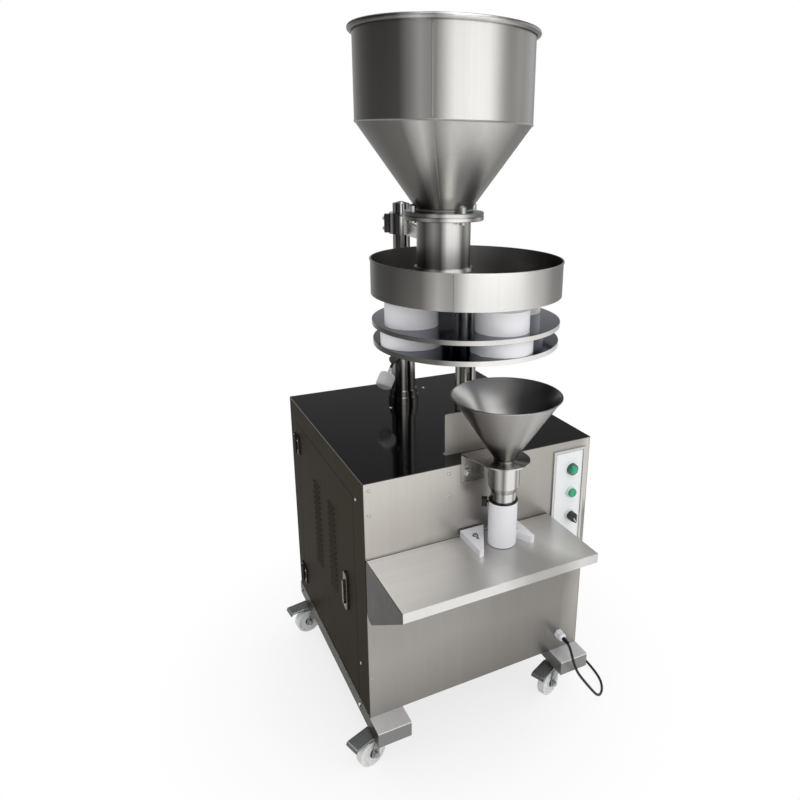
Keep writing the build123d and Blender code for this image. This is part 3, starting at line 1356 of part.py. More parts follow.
# Cable gland through the front panel
gland_plane = Plane(origin=(GLAND[0], front, GLAND[1]), x_dir=(1, 0, 0), z_dir=(0, -1, 0))
with BuildPart() as cable_gland:
    with BuildSketch(gland_plane):
        RegularPolygon(GLAND_NUT_RADIUS, 6)
    extrude(amount=GLAND_NUT)
    with BuildSketch(gland_plane.offset(GLAND_NUT)):
        Circle(GLAND_DOME_RADIUS)
    extrude(amount=GLAND_LENGTH - GLAND_NUT)
    fillet(cable_gland.faces().sort_by(Axis.Y)[0].edges(), 5)
    with BuildSketch(gland_plane):
        Circle(GLAND_BODY_RADIUS)
    extrude(amount=-GLAND_TAIL)
save(cable_gland, "cable_gland")


# Mains cord: straight runs joined by arcs as large as the runs allow, and a tail from the coil to the plug
corner_radii = []
for before, corner, after in zip(CORD_ROUTE, CORD_ROUTE[1:], CORD_ROUTE[2:]):
    run_in = Vector(*corner) - Vector(*before)
    run_out = Vector(*after) - Vector(*corner)
    half_turn = math.radians(run_in.get_angle(run_out)) / 2
    corner_radii.append(0.45 * min(run_in.length, run_out.length) / math.tan(half_turn))
print("cord corner radii", [round(radius) for radius in corner_radii])
tail_y = COIL_CENTRE[1] + COIL_RADIUS
plug_x = COIL_CENTRE[0] + TAIL_REACH
plug_level = PLUG_RADIUS + COIL_REST
with BuildPart() as mains_cord:
    with BuildLine():
        route = FilletPolyline(*CORD_ROUTE, radius=corner_radii)
    with BuildSketch(Plane(origin=route @ 0, z_dir=route % 0)):
        Circle(CORD_RADIUS)
    sweep()
    tube_volume = math.pi * CORD_RADIUS**2 * route.length
    print("cord volume", round(mains_cord.part.volume), "section times length", round(tube_volume))
    with BuildSketch(Plane(origin=(COIL_CENTRE[0], tail_y, plug_level), z_dir=(1, 0, 0))):
        Circle(CORD_RADIUS)
    extrude(amount=TAIL_REACH)
save(mains_cord, "mains_cord")

# Coil of spare cord behind the cabinet, and the plug that its tail ends in
with BuildPart() as cord_coil:
    disc(COIL_CENTRE, COIL_REST, COIL_RADIUS + COIL_BAND / 2, COIL_HEIGHT)
    disc(COIL_CENTRE, COIL_REST, COIL_RADIUS - COIL_BAND / 2, COIL_HEIGHT, Mode.SUBTRACT)
save(cord_coil, "cord_coil")

with BuildPart() as mains_plug:
    plug_plane = Plane(origin=(plug_x, tail_y, plug_level), x_dir=(0, 1, 0), z_dir=(1, 0, 0))
    with BuildSketch(plug_plane):
        Circle(CORD_RADIUS + 1.5)
    with BuildSketch(plug_plane.offset(PLUG_RELIEF)):
        Circle(PLUG_RADIUS * 0.7)
    loft()
    with BuildSketch(plug_plane.offset(PLUG_RELIEF)):
        Circle(PLUG_RADIUS)
    extrude(amount=PLUG_BODY)
    fillet(mains_plug.edges().filter_by(GeomType.CIRCLE).sort_by(SortBy.RADIUS)[-2:], 3)
    with BuildSketch(plug_plane.offset(PLUG_RELIEF + PLUG_BODY)):
        with Locations((-PLUG_PIN_SPREAD, 0), (PLUG_PIN_SPREAD, 0)):
            Circle(PLUG_PIN_RADIUS)
    extrude(amount=PLUG_PIN_LENGTH)
save(mains_plug, "mains_plug")


# Casters
def caster_point(name):
    """Kingpin centre of a caster."""
    side_x = -beam_x if "left" in name else beam_x
    end_y = beam_middle - beam_length / 2 + CASTER_INSET
    if "rear" in name:
        end_y = beam_middle + beam_length / 2 - CASTER_REAR_INSET
    return side_x, end_y


caster_points = {name: caster_point(name) for name in CASTER_HEADINGS}
plate_bottom = beam_bottom - PLATE_THICK
race_bottom = plate_bottom - RACE_HEIGHT
fork_top = race_bottom - HINGE_PLAY
fork_inner = WHEEL_WIDTH / 2 + WHEEL_SIDE_GAP
fork_outer = fork_inner + FORK_SHEET
pin_bottom = fork_top - FORK_SHEET - 6

# Mounting plates with ball races and kingpins
with BuildPart() as caster_plates:
    for point in caster_points.values():
        slab(Plane.XY.offset(plate_bottom), point, (PLATE_WIDTH, PLATE_LENGTH), PLATE_THICK, 6)
        turn(
            [
                (0, pin_bottom),
                (KINGPIN_RADIUS * 1.6, pin_bottom),
                (KINGPIN_RADIUS * 1.6, fork_top - FORK_SHEET - HINGE_PLAY),
                (KINGPIN_RADIUS, fork_top - FORK_SHEET - HINGE_PLAY),
                (KINGPIN_RADIUS, race_bottom),
                (RACE_RADIUS, race_bottom),
                (RACE_RADIUS, plate_bottom),
                (0, plate_bottom),
            ],
            point,
        )
save(caster_plates, "caster_plates")


def caster_frames(name):
    """Planes of a caster: level, with x along its trail, and upright, across its axle."""
    heading = math.radians(CASTER_HEADINGS[name])
    trail = Vector(math.cos(heading), math.sin(heading), 0)
    point = caster_points[name]
    level = Plane(origin=(*point, 0), x_dir=trail, z_dir=(0, 0, 1))
    upright = Plane(origin=(*point, 0), x_dir=trail, z_dir=trail.cross(Vector(0, 0, 1)))
    return level, upright


def fork(name):
    """Pressed swivel fork with its axle bolt and pedal pin."""
    level, upright = caster_frames(name)
    with BuildPart() as piece:
        with BuildSketch(level.offset(fork_top - FORK_SHEET)):
            Circle(FORK_TOP_RADIUS)
            with Locations((CASTER_TRAIL * 0.4, 0)):
                Rectangle(CASTER_TRAIL * 0.8, 2 * fork_outer)
            Circle(KINGPIN_RADIUS + RUNNING_FIT, mode=Mode.SUBTRACT)
        extrude(amount=FORK_SHEET)
        for side in (-1, 1):
            leg_start = side * fork_inner if side > 0 else -fork_outer
            with BuildSketch(upright.offset(leg_start)) as leg:
                with BuildLine():
                    Polyline(
                        (-FORK_TOP_RADIUS * 0.6, fork_top),
                        (CASTER_TRAIL * 0.7, fork_top),
                        (CASTER_TRAIL + AXLE_HEAD_RADIUS, WHEEL_RADIUS + 3),
                        (CASTER_TRAIL + AXLE_HEAD_RADIUS * 0.6, WHEEL_RADIUS - AXLE_HEAD_RADIUS),
                        (CASTER_TRAIL - AXLE_HEAD_RADIUS * 0.6, WHEEL_RADIUS - AXLE_HEAD_RADIUS),
                        (CASTER_TRAIL - AXLE_HEAD_RADIUS, WHEEL_RADIUS + 3),
                        (-FORK_TOP_RADIUS * 0.6, fork_top - FORK_CROWN),
                        close=True,
                    )
                make_face()
                fillet(leg.vertices().group_by(Axis.Y)[0], AXLE_HEAD_RADIUS * 0.45)
            extrude(leg.sketch, amount=FORK_SHEET)
        axle_half = fork_outer + AXLE_HEAD
        with BuildSketch(upright.offset(-axle_half)) as axle:
            with Locations((CASTER_TRAIL, WHEEL_RADIUS)):
                Circle(AXLE_RADIUS)
        extrude(axle.sketch, amount=2 * axle_half)
        for start in (-axle_half, fork_outer):
            with BuildSketch(upright.offset(start)) as head:
                with Locations((CASTER_TRAIL, WHEEL_RADIUS)):
                    Circle(AXLE_HEAD_RADIUS * 0.8)
            extrude(head.sketch, amount=AXLE_HEAD)
        for start, radius, long in (
            (-fork_outer - 2 * HINGE_PLAY - PEDAL_SHEET, PEDAL_PIN_RADIUS, 2 * (fork_outer + PEDAL_SHEET)),
            (-fork_outer - 2 * HINGE_PLAY - 2 * PEDAL_SHEET, PEDAL_PIN_RADIUS * 1.5, PEDAL_SHEET),
            (fork_outer + 2 * HINGE_PLAY + PEDAL_SHEET, PEDAL_PIN_RADIUS * 1.5, PEDAL_SHEET),
        ):
            with BuildSketch(upright.offset(start)) as rivet:
                with Locations(PEDAL_PIN):
                    Circle(radius)
            extrude(rivet.sketch, amount=long + (4 * HINGE_PLAY if radius == PEDAL_PIN_RADIUS else 0))
    return piece


def wheel(name):
    """Nylon wheel with a rounded tread and recessed sides."""
    level, upright = caster_frames(name)
    half = WHEEL_WIDTH / 2
    web = half - 4
    centre = level.from_local_coords((CASTER_TRAIL, 0, WHEEL_RADIUS))
    axle = Axis(centre, upright.z_dir)
    with BuildPart() as piece:
        with BuildSketch(Plane(origin=centre, x_dir=(0, 0, 1), z_dir=level.x_dir)) as profile:
            with BuildLine():
                Polyline(
                    (AXLE_RADIUS + RUNNING_FIT, -half),
                    (AXLE_RADIUS + 6, -half),
                    (AXLE_RADIUS + 8, -web),
                    (WHEEL_RADIUS - 9, -web),
                    (WHEEL_RADIUS - 7, -half),
                    (WHEEL_RADIUS - TREAD_ROUND, -half),
                    (WHEEL_RADIUS, TREAD_ROUND - half),
                    (WHEEL_RADIUS, half - TREAD_ROUND),
                    (WHEEL_RADIUS - TREAD_ROUND, half),
                    (WHEEL_RADIUS - 7, half),
                    (WHEEL_RADIUS - 9, web),
                    (AXLE_RADIUS + 8, web),
                    (AXLE_RADIUS + 6, half),
                    (AXLE_RADIUS + RUNNING_FIT, half),
                    close=True,
                )
            make_face()
        revolve(profile.sketch, axis=axle)
    return piece


def pedal(name):
    """Brake pedal: tread plate over the wheel, with two ears that turn on the fork's rivet."""
    level, upright = caster_frames(name)
    drop = (PEDAL_REACH - PEDAL_START) * math.tan(math.radians(PEDAL_SLOPE))
    tip = fork_top - drop
    with BuildPart() as piece:
        with BuildSketch(upright.offset(-PEDAL_WIDTH / 2)) as side:
            with BuildLine():
                Polyline(
                    (PEDAL_START, fork_top - PEDAL_SHEET),
                    (PEDAL_REACH - PEDAL_SHEET, tip - PEDAL_SHEET),
                    (PEDAL_REACH, tip - PEDAL_LIP),
                    (PEDAL_REACH + PEDAL_SHEET, tip - PEDAL_LIP),
                    (PEDAL_REACH, tip),
                    (PEDAL_START, fork_top),
                    close=True,
                )
            make_face()
        extrude(side.sketch, amount=PEDAL_WIDTH)
        for start in (-fork_outer - HINGE_PLAY - PEDAL_SHEET, fork_outer + HINGE_PLAY):
            with BuildSketch(upright.offset(start)) as ear:
                with Locations(PEDAL_PIN):
                    Circle(PEDAL_BOSS_RADIUS)
                with Locations((PEDAL_START + PEDAL_EAR_LENGTH / 2, fork_top - PEDAL_SHEET / 2 - PEDAL_EAR_HEIGHT / 2)):
                    Rectangle(PEDAL_EAR_LENGTH, PEDAL_EAR_HEIGHT)
                make_hull()
            extrude(ear.sketch, amount=PEDAL_SHEET)
        with BuildSketch(upright.offset(-PEDAL_WIDTH)) as bore:
            with Locations(PEDAL_PIN):
                Circle(PEDAL_PIN_RADIUS + RUNNING_FIT)
        extrude(bore.sketch, amount=2 * PEDAL_WIDTH, mode=Mode.SUBTRACT)
    return piece


for caster_name in CASTER_HEADINGS:
    save(fork(caster_name), f"{caster_name}_fork")
    save(wheel(caster_name), f"{caster_name}_wheel")
    save(pedal(caster_name), f"{caster_name}_pedal")
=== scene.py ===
"""Looks of the granule filling machine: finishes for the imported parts, and the small trim that they carry.

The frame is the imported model's own: +Z is up, -Y is the operator's side, and the floor is at Z = 0.
Places and sizes of the trim are in millimetres, and a shape is scaled to metres when it is stamped.
"""

import math

import bmesh
import bpy
from mathutils import Matrix, Vector


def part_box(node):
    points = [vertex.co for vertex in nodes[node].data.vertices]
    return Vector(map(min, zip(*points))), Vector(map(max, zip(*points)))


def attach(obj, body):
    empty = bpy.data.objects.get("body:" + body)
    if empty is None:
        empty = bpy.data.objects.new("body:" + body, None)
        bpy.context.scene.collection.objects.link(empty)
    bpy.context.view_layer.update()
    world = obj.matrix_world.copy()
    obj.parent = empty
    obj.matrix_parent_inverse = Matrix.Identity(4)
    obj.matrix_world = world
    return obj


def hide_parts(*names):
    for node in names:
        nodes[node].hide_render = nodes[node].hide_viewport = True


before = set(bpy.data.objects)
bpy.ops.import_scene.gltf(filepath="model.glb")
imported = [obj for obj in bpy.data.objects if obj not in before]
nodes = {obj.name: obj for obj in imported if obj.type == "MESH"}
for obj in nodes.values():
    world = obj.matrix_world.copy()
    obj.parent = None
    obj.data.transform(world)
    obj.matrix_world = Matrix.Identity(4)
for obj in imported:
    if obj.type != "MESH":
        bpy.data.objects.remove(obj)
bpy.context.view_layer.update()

MM = 0.001
UP = Vector((0, 0, 1))
TO_OPERATOR = Vector((0, -1, 0))
TO_LEFT = Vector((-1, 0, 0))
TO_REAR = Vector((0, 1, 0))

# Camera, as solved from the photograph's cabinet edges
CAMERA_PLACE = (-0.7305, -1.5793, 1.4349)
CAMERA_YAW = 29.1
CAMERA_PITCH = -17.5
CAMERA_ROLL = 1.3
CAMERA_LENS = 31.15
CAMERA_SHIFT = (-0.0999, -0.0369)

# Faces of the cabinet that carry trim
FRONT_FACE = -306
REAR_FACE = 306
LEFT_FACE = -300
TOP_FACE = 759
BRACKET_FACE = -309
HINGE_FACE = -304

# Screws, as (x, z) on the front and rear, (y, z) on the left side and (x, y) on level faces
FRONT_SCREWS = [(-287, 740), (-288, 681), (-96, 740), (-97, 684), (-293, 256)]
REAR_SCREWS = [(-284, 172), (284, 172), (-284, 450), (284, 450), (-284, 728), (284, 728)]
STRIP_SCREWS = [(-253, 263), (-256, 700)]
BEAM_BOLTS = [(-236, 126), (300, 121)]
TOP_SCREWS = [(75, 215), (-75, 98)]
GUARD_SCREWS = [(-50, -245), (70, -245)]
GUARD_FOOT_TOP = 761
BRACKET_BOLTS = [(-51, 735), (21.5, 735)]
LOCATOR_SCREWS = [(-46.3, -347.3), (55.3, -347.3)]
LOCATOR_TOP = 590.5

# Seams of the rolled sheet pieces: angle round the axis, wall radius, and low and high level
HOPPER_SEAM = (237.4, 191.5, 1494, 1663)
CONE_SEAM = (237.4, 61.0, 1312, 1492)
BOWL_SEAM = (235.3, 217.0, 1131, 1205)
SEAM_SINK = 0.1

# Measuring cups and discharge
ROTOR = (0, -196)
CUP_PITCH_RADIUS = 143
CUP_ANGLES = (5, 95, 185, 275)
CUP_RADIUS = 59
CUP_TOP = 1130
DISCHARGE = (9, -373)
SLEEVE_BLACK_TOP = 0.6855
SLEEVE_RING_LEVEL = 684.4
SLEEVE_BLACK_RING = [(32.8, -1.4), (33.5, -1.0), (33.8, 0), (33.5, 1.0), (32.8, 1.4)]
CUP_BAND = [(CUP_RADIUS, -9), (CUP_RADIUS + 0.6, -9), (CUP_RADIUS + 0.6, -0.5), (CUP_RADIUS, -0.5)]

# Mast clamp and lever
COLUMN = (-18, 144)
CLAMP_BLOCK_ANGLE = 151
CLAMP_BLOCK_REACH = 30
CLAMP_BLOCK_LEVEL = 1252
CLAMP_BLOCK_THICKNESS = 14
CLAMP_BOLT_STEP = 13
# Where the painted light and shade of the beams and the shelf begin, in metres
BEAM_TOP = 0.1425
BEAM_HIGHLIGHT_LEVEL = 0.14
BEAM_SHADED_OUTSIDE = -0.2995
SHELF_CHEEK = -0.2974
SHELF_SHADOW_LINE = -0.3085
EDGE_BAND = 0.0012
GRIP_HALF = 0.028
GRIP_REACH = 0.036

# Control panel
OVERLAY_FACE = -307.5
OVERLAY_CENTRE = (239.5, 601)
OVERLAY_SIZE = (79, 254)
OVERLAY_SHEET = 0.8
CONTROL_X = 248
LAMP_LEVEL = 681
LAMP_FACE = -321.4
LENS_RADIUS = 0.0122
LENS_DOME = [
    (0, 0),
    (9.1, 0),
    (8.9, 0.7),
    (7.4, 1.2),
    (7.2, 0.9),
    (5.2, 1.7),
    (5.0, 1.4),
    (3, 2.0),
    (0, 2.2),
]
SELECTOR_LEVEL = 554
SELECTOR_FACE = -327.8
SELECTOR_ANGLE = -62
SELECTOR_LINE_REACH = 10
PANEL_DOT = (242.4, 508.5)

# Door
HINGE_LEVELS = (217, 637)
FRAME_LEAF_Y = 262
DOOR_LEAF_Y = 231.5
HINGE_SCREW_STEP = 15
LATCH_LOCK = (-166, 374)
LATCH_FACE = -306
BARREL_OUTLINE = [(0, 0.4), (1.1, 0.4), (1.3, 1.2), (4.4, 1.4), (5, 1.0), (5, 0), (0, 0)]

# Casters
CASTER_HEADINGS = {"front_left": 198, "front_right": 203, "rear_left": 187, "rear_right": 197}
CASTER_TRAIL = 40
FORK_OUTER = 17
AXLE_END = 22
WHEEL_HALF = 12.5
NUT_HEIGHT = 3.5
HUB_RING = [(8, -0.4), (13, -0.4), (13, 0.5), (12.6, 0.8), (8, 0.8)]
PEDAL_MIDDLE = 64.5
PEDAL_LEVEL = 89.05
PEDAL_SLOPE = 3
PEDAL_SIZE = (40, 62)
PEDAL_BORDER = 5
PEDAL_RIB_REACHES = (4, 10, 16, 22)

# Mains lead
GLAND = (240, 191)
GLAND_DOME_RADIUS = 10.5
GLAND_DOME_REACH = 15
GLAND_RIBS = 12
RELIEF_LENGTH = 20.5
RELIEF_RINGS = 5
RELIEF_RADIUS = 5.8
RELIEF_TAPER = 1.5
CORD_DIAMETER = 0.007
CORD_REST = 3.8
CORD_ROUTE = [
    (240, -332, 191),
    (240, -349, 191),
    (238.5, -364.5, 185),
    (237, -376, 172),
    (238, -384, 156),
    (242, -389, 138),
    (251, -393, 118),
    (266, -397, 95),
    (284, -400, 69),
    (302, -400, 44),
    (320, -396, 22),
    (340, -386, 9),
    (362, -366, CORD_REST),
    (378, -338, CORD_REST),
    (386, -300, CORD_REST),
    (389, -250, CORD_REST),
    (388, -190, CORD_REST),
    (385, -110, CORD_REST),
    (389, -20, CORD_REST),
    (390, 70, CORD_REST),
    (386, 160, CORD_REST),
    (379, 245, CORD_REST),
    (365, 320, CORD_REST),
    (339, 372, CORD_REST),
    (301, 394, CORD_REST),
    (255, 399, CORD_REST),
    (207, 397, CORD_REST),
]
COIL_CENTRE = (165, 438.5)
COIL_OUTER = 45.5
COIL_INNER = 31.5
COIL_MIDDLE = 38.5
COIL_TURN_POINTS = 14
COIL_FLOOR_TURNS = 3
COIL_UPPER_TURNS = 2.5
COIL_CLIMB = 3
COIL_WIDENING = 2.5
PLUG_START = (207, 477, 13.3)
PLUG_TAIL = [(-26, 0, -1.6), (-13, 0, -0.4), (0, 0, 0)]
PLUG_RADIUS = 13
PLUG_BODY_START = 237
PLUG_RIB_REACHES = (8, 13, 18, 23)

# Studio lamps: name, place, aim, width and height in metres, and power in watts
SOFTBOXES = [
    ("front_softbox", (0.3, -3.8, 2.3), (0, 0, 1.1), 6.0, 3.6, 56),
    ("right_softbox", (3.4, 0.2, 2.4), (0, 0, 0.8), 3.2, 2.4, 24),
    ("left_softbox", (-3.0, -1.6, 3.6), (0, 0, 0.8), 2.4, 2.4, 9),
    ("rear_softbox", (0.4, 2.6, 4.4), (0, 0, 0.9), 2.4, 2.4, 24),
    ("top_softbox", (0, -1.5, 4.6), (0, -0.4, 0), 3.0, 3.0, 56),
]

# Floor: it takes shadows near the machine, and turns plain white over these distances in metres
FLOOR_HALF = 8
FLOOR_NEAR = 0.3
FLOOR_FAR = 0.85
FLOOR_WHITE_NEAR = 0.76

# Brushing: the grain is stretched along one axis
GRAIN_UPRIGHT = (1, 1, 0.02)
GRAIN_ACROSS = (0.02, 1, 1)
GRAIN_ALONG = (1, 0.02, 1)

SHARP_EDGE = 35


class Level:
    """A value on a shader socket that takes part in plain arithmetic."""

    def __init__(self, finish, socket):
        self.finish = finish
        self.socket = socket

    def maths(self, operation, first, second=0.0):
        return self.finish.node("ShaderNodeMath", {"operation": operation}, {0: first, 1: second})

    def __add__(self, other):
        return self.maths("ADD", self, other)

    def __radd__(self, other):
        return self.maths("ADD", other, self)

    def __sub__(self, other):
        return self.maths("SUBTRACT", self, other)

    def __rsub__(self, other):
        return self.maths("SUBTRACT", other, self)

    def __mul__(self, other):
        return self.maths("MULTIPLY", self, other)

    def __rmul__(self, other):
        return self.maths("MULTIPLY", other, self)

    def __gt__(self, other):
        return self.maths("GREATER_THAN", self, other)

    def __lt__(self, other):
        return self.maths("LESS_THAN", self, other)


class Finish:
    """A material under construction: one shader and the nodes that feed it."""

    def __init__(self, name, tree=None):
        self.material = None
        if tree is None:
            self.material = bpy.data.materials.new(name)
            self.material.use_nodes = True
            tree = self.material.node_tree
        self.tree = tree
        self.tree.nodes.clear()

    def node(self, kind, settings=None, sockets=None, output=0):
        """Add a node of a kind, its settings first and then its sockets, and return one of its outputs."""
        made = self.tree.nodes.new(kind)
        for key, value in (settings or {}).items():
            if key == "stops":
                band = made.color_ramp.elements
                band[0].position, band[0].color = value[0][0], (*value[0][1], 1.0)
                band[1].position, band[1].color = value[-1][0], (*value[-1][1], 1.0)
                for place, colour in value[1:-1]:
                    band.new(place).color = (*colour, 1.0)
            else:
                setattr(made, key, value)
        for key, value in (sockets or {}).items():
            self.feed(made.inputs[key], value)
        return Level(self, made.outputs[output])

    def feed(self, socket, value):
        if isinstance(value, Level):
            self.tree.links.new(value.socket, socket)
        elif socket.type == "RGBA":
            socket.default_value = (*value, 1.0)
        else:
            socket.default_value = value

    def here(self):
        """Object coordinates."""
        return self.node("ShaderNodeTexCoord", output="Object")

    def place(self, scale=(1, 1, 1), turn=(0, 0, 0), shift=(0, 0, 0)):
        """Object coordinates through a Mapping node."""
        sockets = {"Vector": self.here(), "Scale": scale, "Rotation": turn, "Location": shift}
        return self.node("ShaderNodeMapping", {}, sockets)

    def split(self, vector):
        """The three coordinates of a vector."""
        apart = self.node("ShaderNodeSeparateXYZ", {}, {0: vector})
        return [Level(self, end) for end in apart.socket.node.outputs]

    def round_share(self, x, y):
        """Angle about an upright axis, as a share of the circle from the left side, anticlockwise."""
        return self.node("ShaderNodeMath", {"operation": "ARCTAN2"}, {0: y, 1: x}) * (0.5 / math.pi) + 0.5

    def reach(self, centre):
        """Distance from a point in the piece's own frame, in metres."""
        return self.node(
            "ShaderNodeVectorMath", {"operation": "DISTANCE"}, {0: self.here(), 1: centre}, output="Value"
        )

    def noise(self, vector, scale, detail=4.0, roughness=0.55):
        sockets = {"Vector": vector, "Scale": scale, "Detail": detail, "Roughness": roughness}
        return self.node("ShaderNodeTexNoise", {}, sockets)

    def mix(self, factor, first, second, blend="MIX"):
        """Blend two colours."""
        settings = {"data_type": "RGBA", "blend_type": blend}
        return self.node("ShaderNodeMix", settings, {"Factor": factor, 6: first, 7: second}, output=2)

    def ramp(self, factor, stops):
        return self.node("ShaderNodeValToRGB", {"stops": stops}, {"Fac": factor})

    def bump(self, height, distance, strength=1.0):
        sockets = {"Height": height, "Distance": distance, "Strength": strength}
        return self.node("ShaderNodeBump", {}, sockets)

    def shade(self, **sockets):
        """Close the material with a Principled shader."""
        named = {key.replace("_", " "): value for key, value in sockets.items()}
        self.close(self.node("ShaderNodeBsdfPrincipled", {}, named))
        return self.material

    def close(self, surface):
        end = self.tree.nodes.new("ShaderNodeOutputMaterial")
        self.tree.links.new(surface.socket, end.inputs["Surface"])


def tone(red, green, blue):
    """Linear colour of a paint chip read in ordinary 0 to 255 screen values."""
    shares = [c / 255 for c in (red, green, blue)]
    return tuple(part / 12.92 if part < 0.04 else ((part + 0.055) / 1.055) ** 2.4 for part in shares)


def grey(value):
    """Slightly warm grey."""
    return tone(value, value - 2, value - 5)


def scaled(colour, factor):
    return tuple(min(1.0, c * factor) for c in colour)


def sheet_steel(finish, shade, grain, roughness, cloud, wear=0.06, metallic=1.0, edge_tint=1.0):
    """Brushed sheet on a finish in the making: brushing along one axis, clouds and wipe marks."""
    brushing = finish.noise(finish.place(grain), 90.0, 3.0, 0.7)
    clouds = finish.noise(finish.place(), 2.6, 2.0, 0.5)
    wiping = finish.noise(finish.place(turn=(0.5, 0.3, 0.9)), 14.0, 5.0, 0.65)
    clouded = finish.mix(clouds * cloud, shade, (0.02, 0.02, 0.02))
    darker = finish.mix(1.0, clouded, (0.75, 0.75, 0.75), "MULTIPLY")
    grained = finish.mix(brushing * 0.4, clouded, darker)
    return finish.shade(
        Base_Color=grained,
        Metallic=metallic,
        Specular_Tint=(edge_tint, edge_tint, edge_tint),
        Roughness=brushing * 0.1 + wiping * wear + (roughness - 0.08),
        Normal=finish.bump(brushing, 0.00004, 0.5),
    )


def brushed_steel(name, colour, grain=(1, 1, 1), roughness=0.3, cloud=0.2, metallic=1.0, edge_tint=1.0):
    """Sheet or tube steel of one tone."""
    finish = Finish(name)
    shade = finish.mix(0.0, colour, colour)
    return sheet_steel(finish, shade, grain, roughness, cloud, metallic=metallic, edge_tint=edge_tint)


def graded_steel(name, stops, painted_shade_across, grain, roughness, cloud=0.15):
    """Sheet steel of a tall panel with painted shade: height picks the tone, and the place across its width
    shades it.
    """
    finish = Finish(name)
    across, _, level = finish.split(finish.here())
    smears = finish.noise(finish.place((1, 1, 0.4)), 5.0, 3.0, 0.5)
    toned = finish.ramp(level + (smears - 0.5) * 0.12, stops)
    shadow = finish.ramp(across + (smears - 0.5) * 0.15 + 0.5, painted_shade_across)
    shaded = finish.mix(1.0, toned, shadow, "MULTIPLY")
    return sheet_steel(finish, shaded, grain, roughness, cloud)


def shelf_steel(name, stops, shaded_side_colour, crease_shadow_colour):
    """Shelf sheet: pale brushed top, a left cheek in painted shade, and a painted shadow line where it meets
    the panel.
    """
    finish = Finish(name)
    across, along, _ = finish.split(finish.here())
    smears = finish.noise(finish.place((1, 0.5, 1)), 6.0, 4.0, 0.55)
    top = finish.ramp(across + along * 0.3 + (smears - 0.5) * 0.1 + 0.6, stops)
    shaded_cheek = finish.mix(across < SHELF_CHEEK, top, shaded_side_colour)
    crease_shaded = finish.mix(along > SHELF_SHADOW_LINE, shaded_cheek, crease_shadow_colour)
    return sheet_steel(finish, crease_shaded, GRAIN_ACROSS, 0.28, 0.3, wear=0.16, metallic=0.7)


def beam_finish(name, lit_top_colour, highlight_colour, shaded_side_colour, outer_shade_colour):
    """Beam sheet with painted light: a lit pale top, a painted highlight on the upper edge, shaded sides and
    a darker shaded outer face.
    """
    finish = Finish(name)
    across, _, level = finish.split(finish.here())
    highlighted = finish.mix(level > BEAM_HIGHLIGHT_LEVEL, shaded_side_colour, highlight_colour)
    outer = finish.mix(across < BEAM_SHADED_OUTSIDE, highlighted, outer_shade_colour)
    lit_top = finish.mix(level > BEAM_TOP, outer, lit_top_colour)
    return sheet_steel(finish, lit_top, GRAIN_ALONG, 0.32, 0.2, metallic=0.6)


def polished_steel(name, colour, roughness=0.12, cloud=0.2):
    """Polished steel with faint smears."""
    finish = Finish(name)
    smears = finish.noise(finish.place((1, 1, 0.35)), 9.0, 5.0, 0.6)
    clouds = finish.noise(finish.place(), 2.6, 2.0)
    fingers = finish.noise(finish.place(), 40.0, 4.0, 0.7)
    shade = finish.mix(clouds, colour, scaled(colour, 1 - cloud))
    return finish.shade(
        Base_Color=shade, Metallic=1.0, Roughness=smears * 0.08 + fingers * 0.04 + (roughness - 0.06)
    )


def disc_finish(name, node, face_reflection_colour, rim_highlight_bands):
    """Turned disc: polished faces darkened as a painted reflection, fine turning rings, and a rim of painted
    highlights.
    """
    finish = Finish(name)
    low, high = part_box(node)
    rim = (high[0] - low[0]) / 2 - EDGE_BAND
    x, y, _ = finish.split(finish.place(shift=(-ROTOR[0] * MM, -ROTOR[1] * MM, 0)))
    radius = x.maths("POWER", x * x + y * y, 0.5)
    edge = finish.ramp(finish.round_share(x, y), rim_highlight_bands)
    from_axis = finish.node("ShaderNodeCombineXYZ", {}, {0: radius, 1: 0.0, 2: 0.0})
    rings = finish.noise(from_axis, 700.0, 2.0, 0.6)
    smears = finish.noise(finish.place(), 9.0, 5.0, 0.6)
    faces = finish.mix(smears, face_reflection_colour, scaled(face_reflection_colour, 0.7))
    return finish.shade(
        Base_Color=finish.mix(radius > rim, faces, edge),
        Metallic=1.0,
        Roughness=rings * 0.06 + smears * 0.08 + 0.06,
    )


def rolled_steel(name, axis, bands, roughness, grain=(1, 1, 30)):
    """Rolled steel with painted reflections: upright light and dark streaks round an axis, the angle picking
    the tone.
    """
    finish = Finish(name)
    x, y, _ = finish.split(finish.place(shift=(-axis[0], -axis[1], 0)))
    ripple = finish.noise(finish.place((1, 1, 0.25)), 7.0, 3.0, 0.5)
    painted_streaks = finish.ramp(finish.round_share(x, y) + (ripple - 0.5) * 0.012, bands)
    brushing = finish.noise(finish.place(grain), 60.0, 3.0, 0.7)
    fine = finish.noise(finish.place((1, 1, 0.01)), 160.0, 2.0, 0.6)
    darker = finish.mix(1.0, painted_streaks, (0.6, 0.6, 0.6), "MULTIPLY")
    toned = finish.mix(brushing * 0.25 + fine * 0.2, painted_streaks, darker)
    return finish.shade(
        Base_Color=toned,
        Metallic=1.0,
        Roughness=brushing * 0.1 + fine * 0.06 + (roughness - 0.08),
        Normal=finish.bump(brushing, 0.00003, 0.4),
    )


def moulded_plastic(name, colour, roughness=0.4, grime=0.06, texture=0.00004, coat=0.0):
    """Moulded or turned plastic with a fine skin and light handling marks."""
    finish = Finish(name)
    skin = finish.noise(finish.place(), 900.0, 2.0)
    marks = finish.noise(finish.place(), 22.0, 6.0, 0.6)
    shade = finish.mix(marks, scaled(colour, 1 - grime), scaled(colour, 1 + grime * 0.4))
    return finish.shade(
        Base_Color=shade,
        Roughness=marks * 0.16 + (roughness - 0.08),
        Coat_Weight=coat,
        Normal=finish.bump(skin, texture, 0.5),
    )


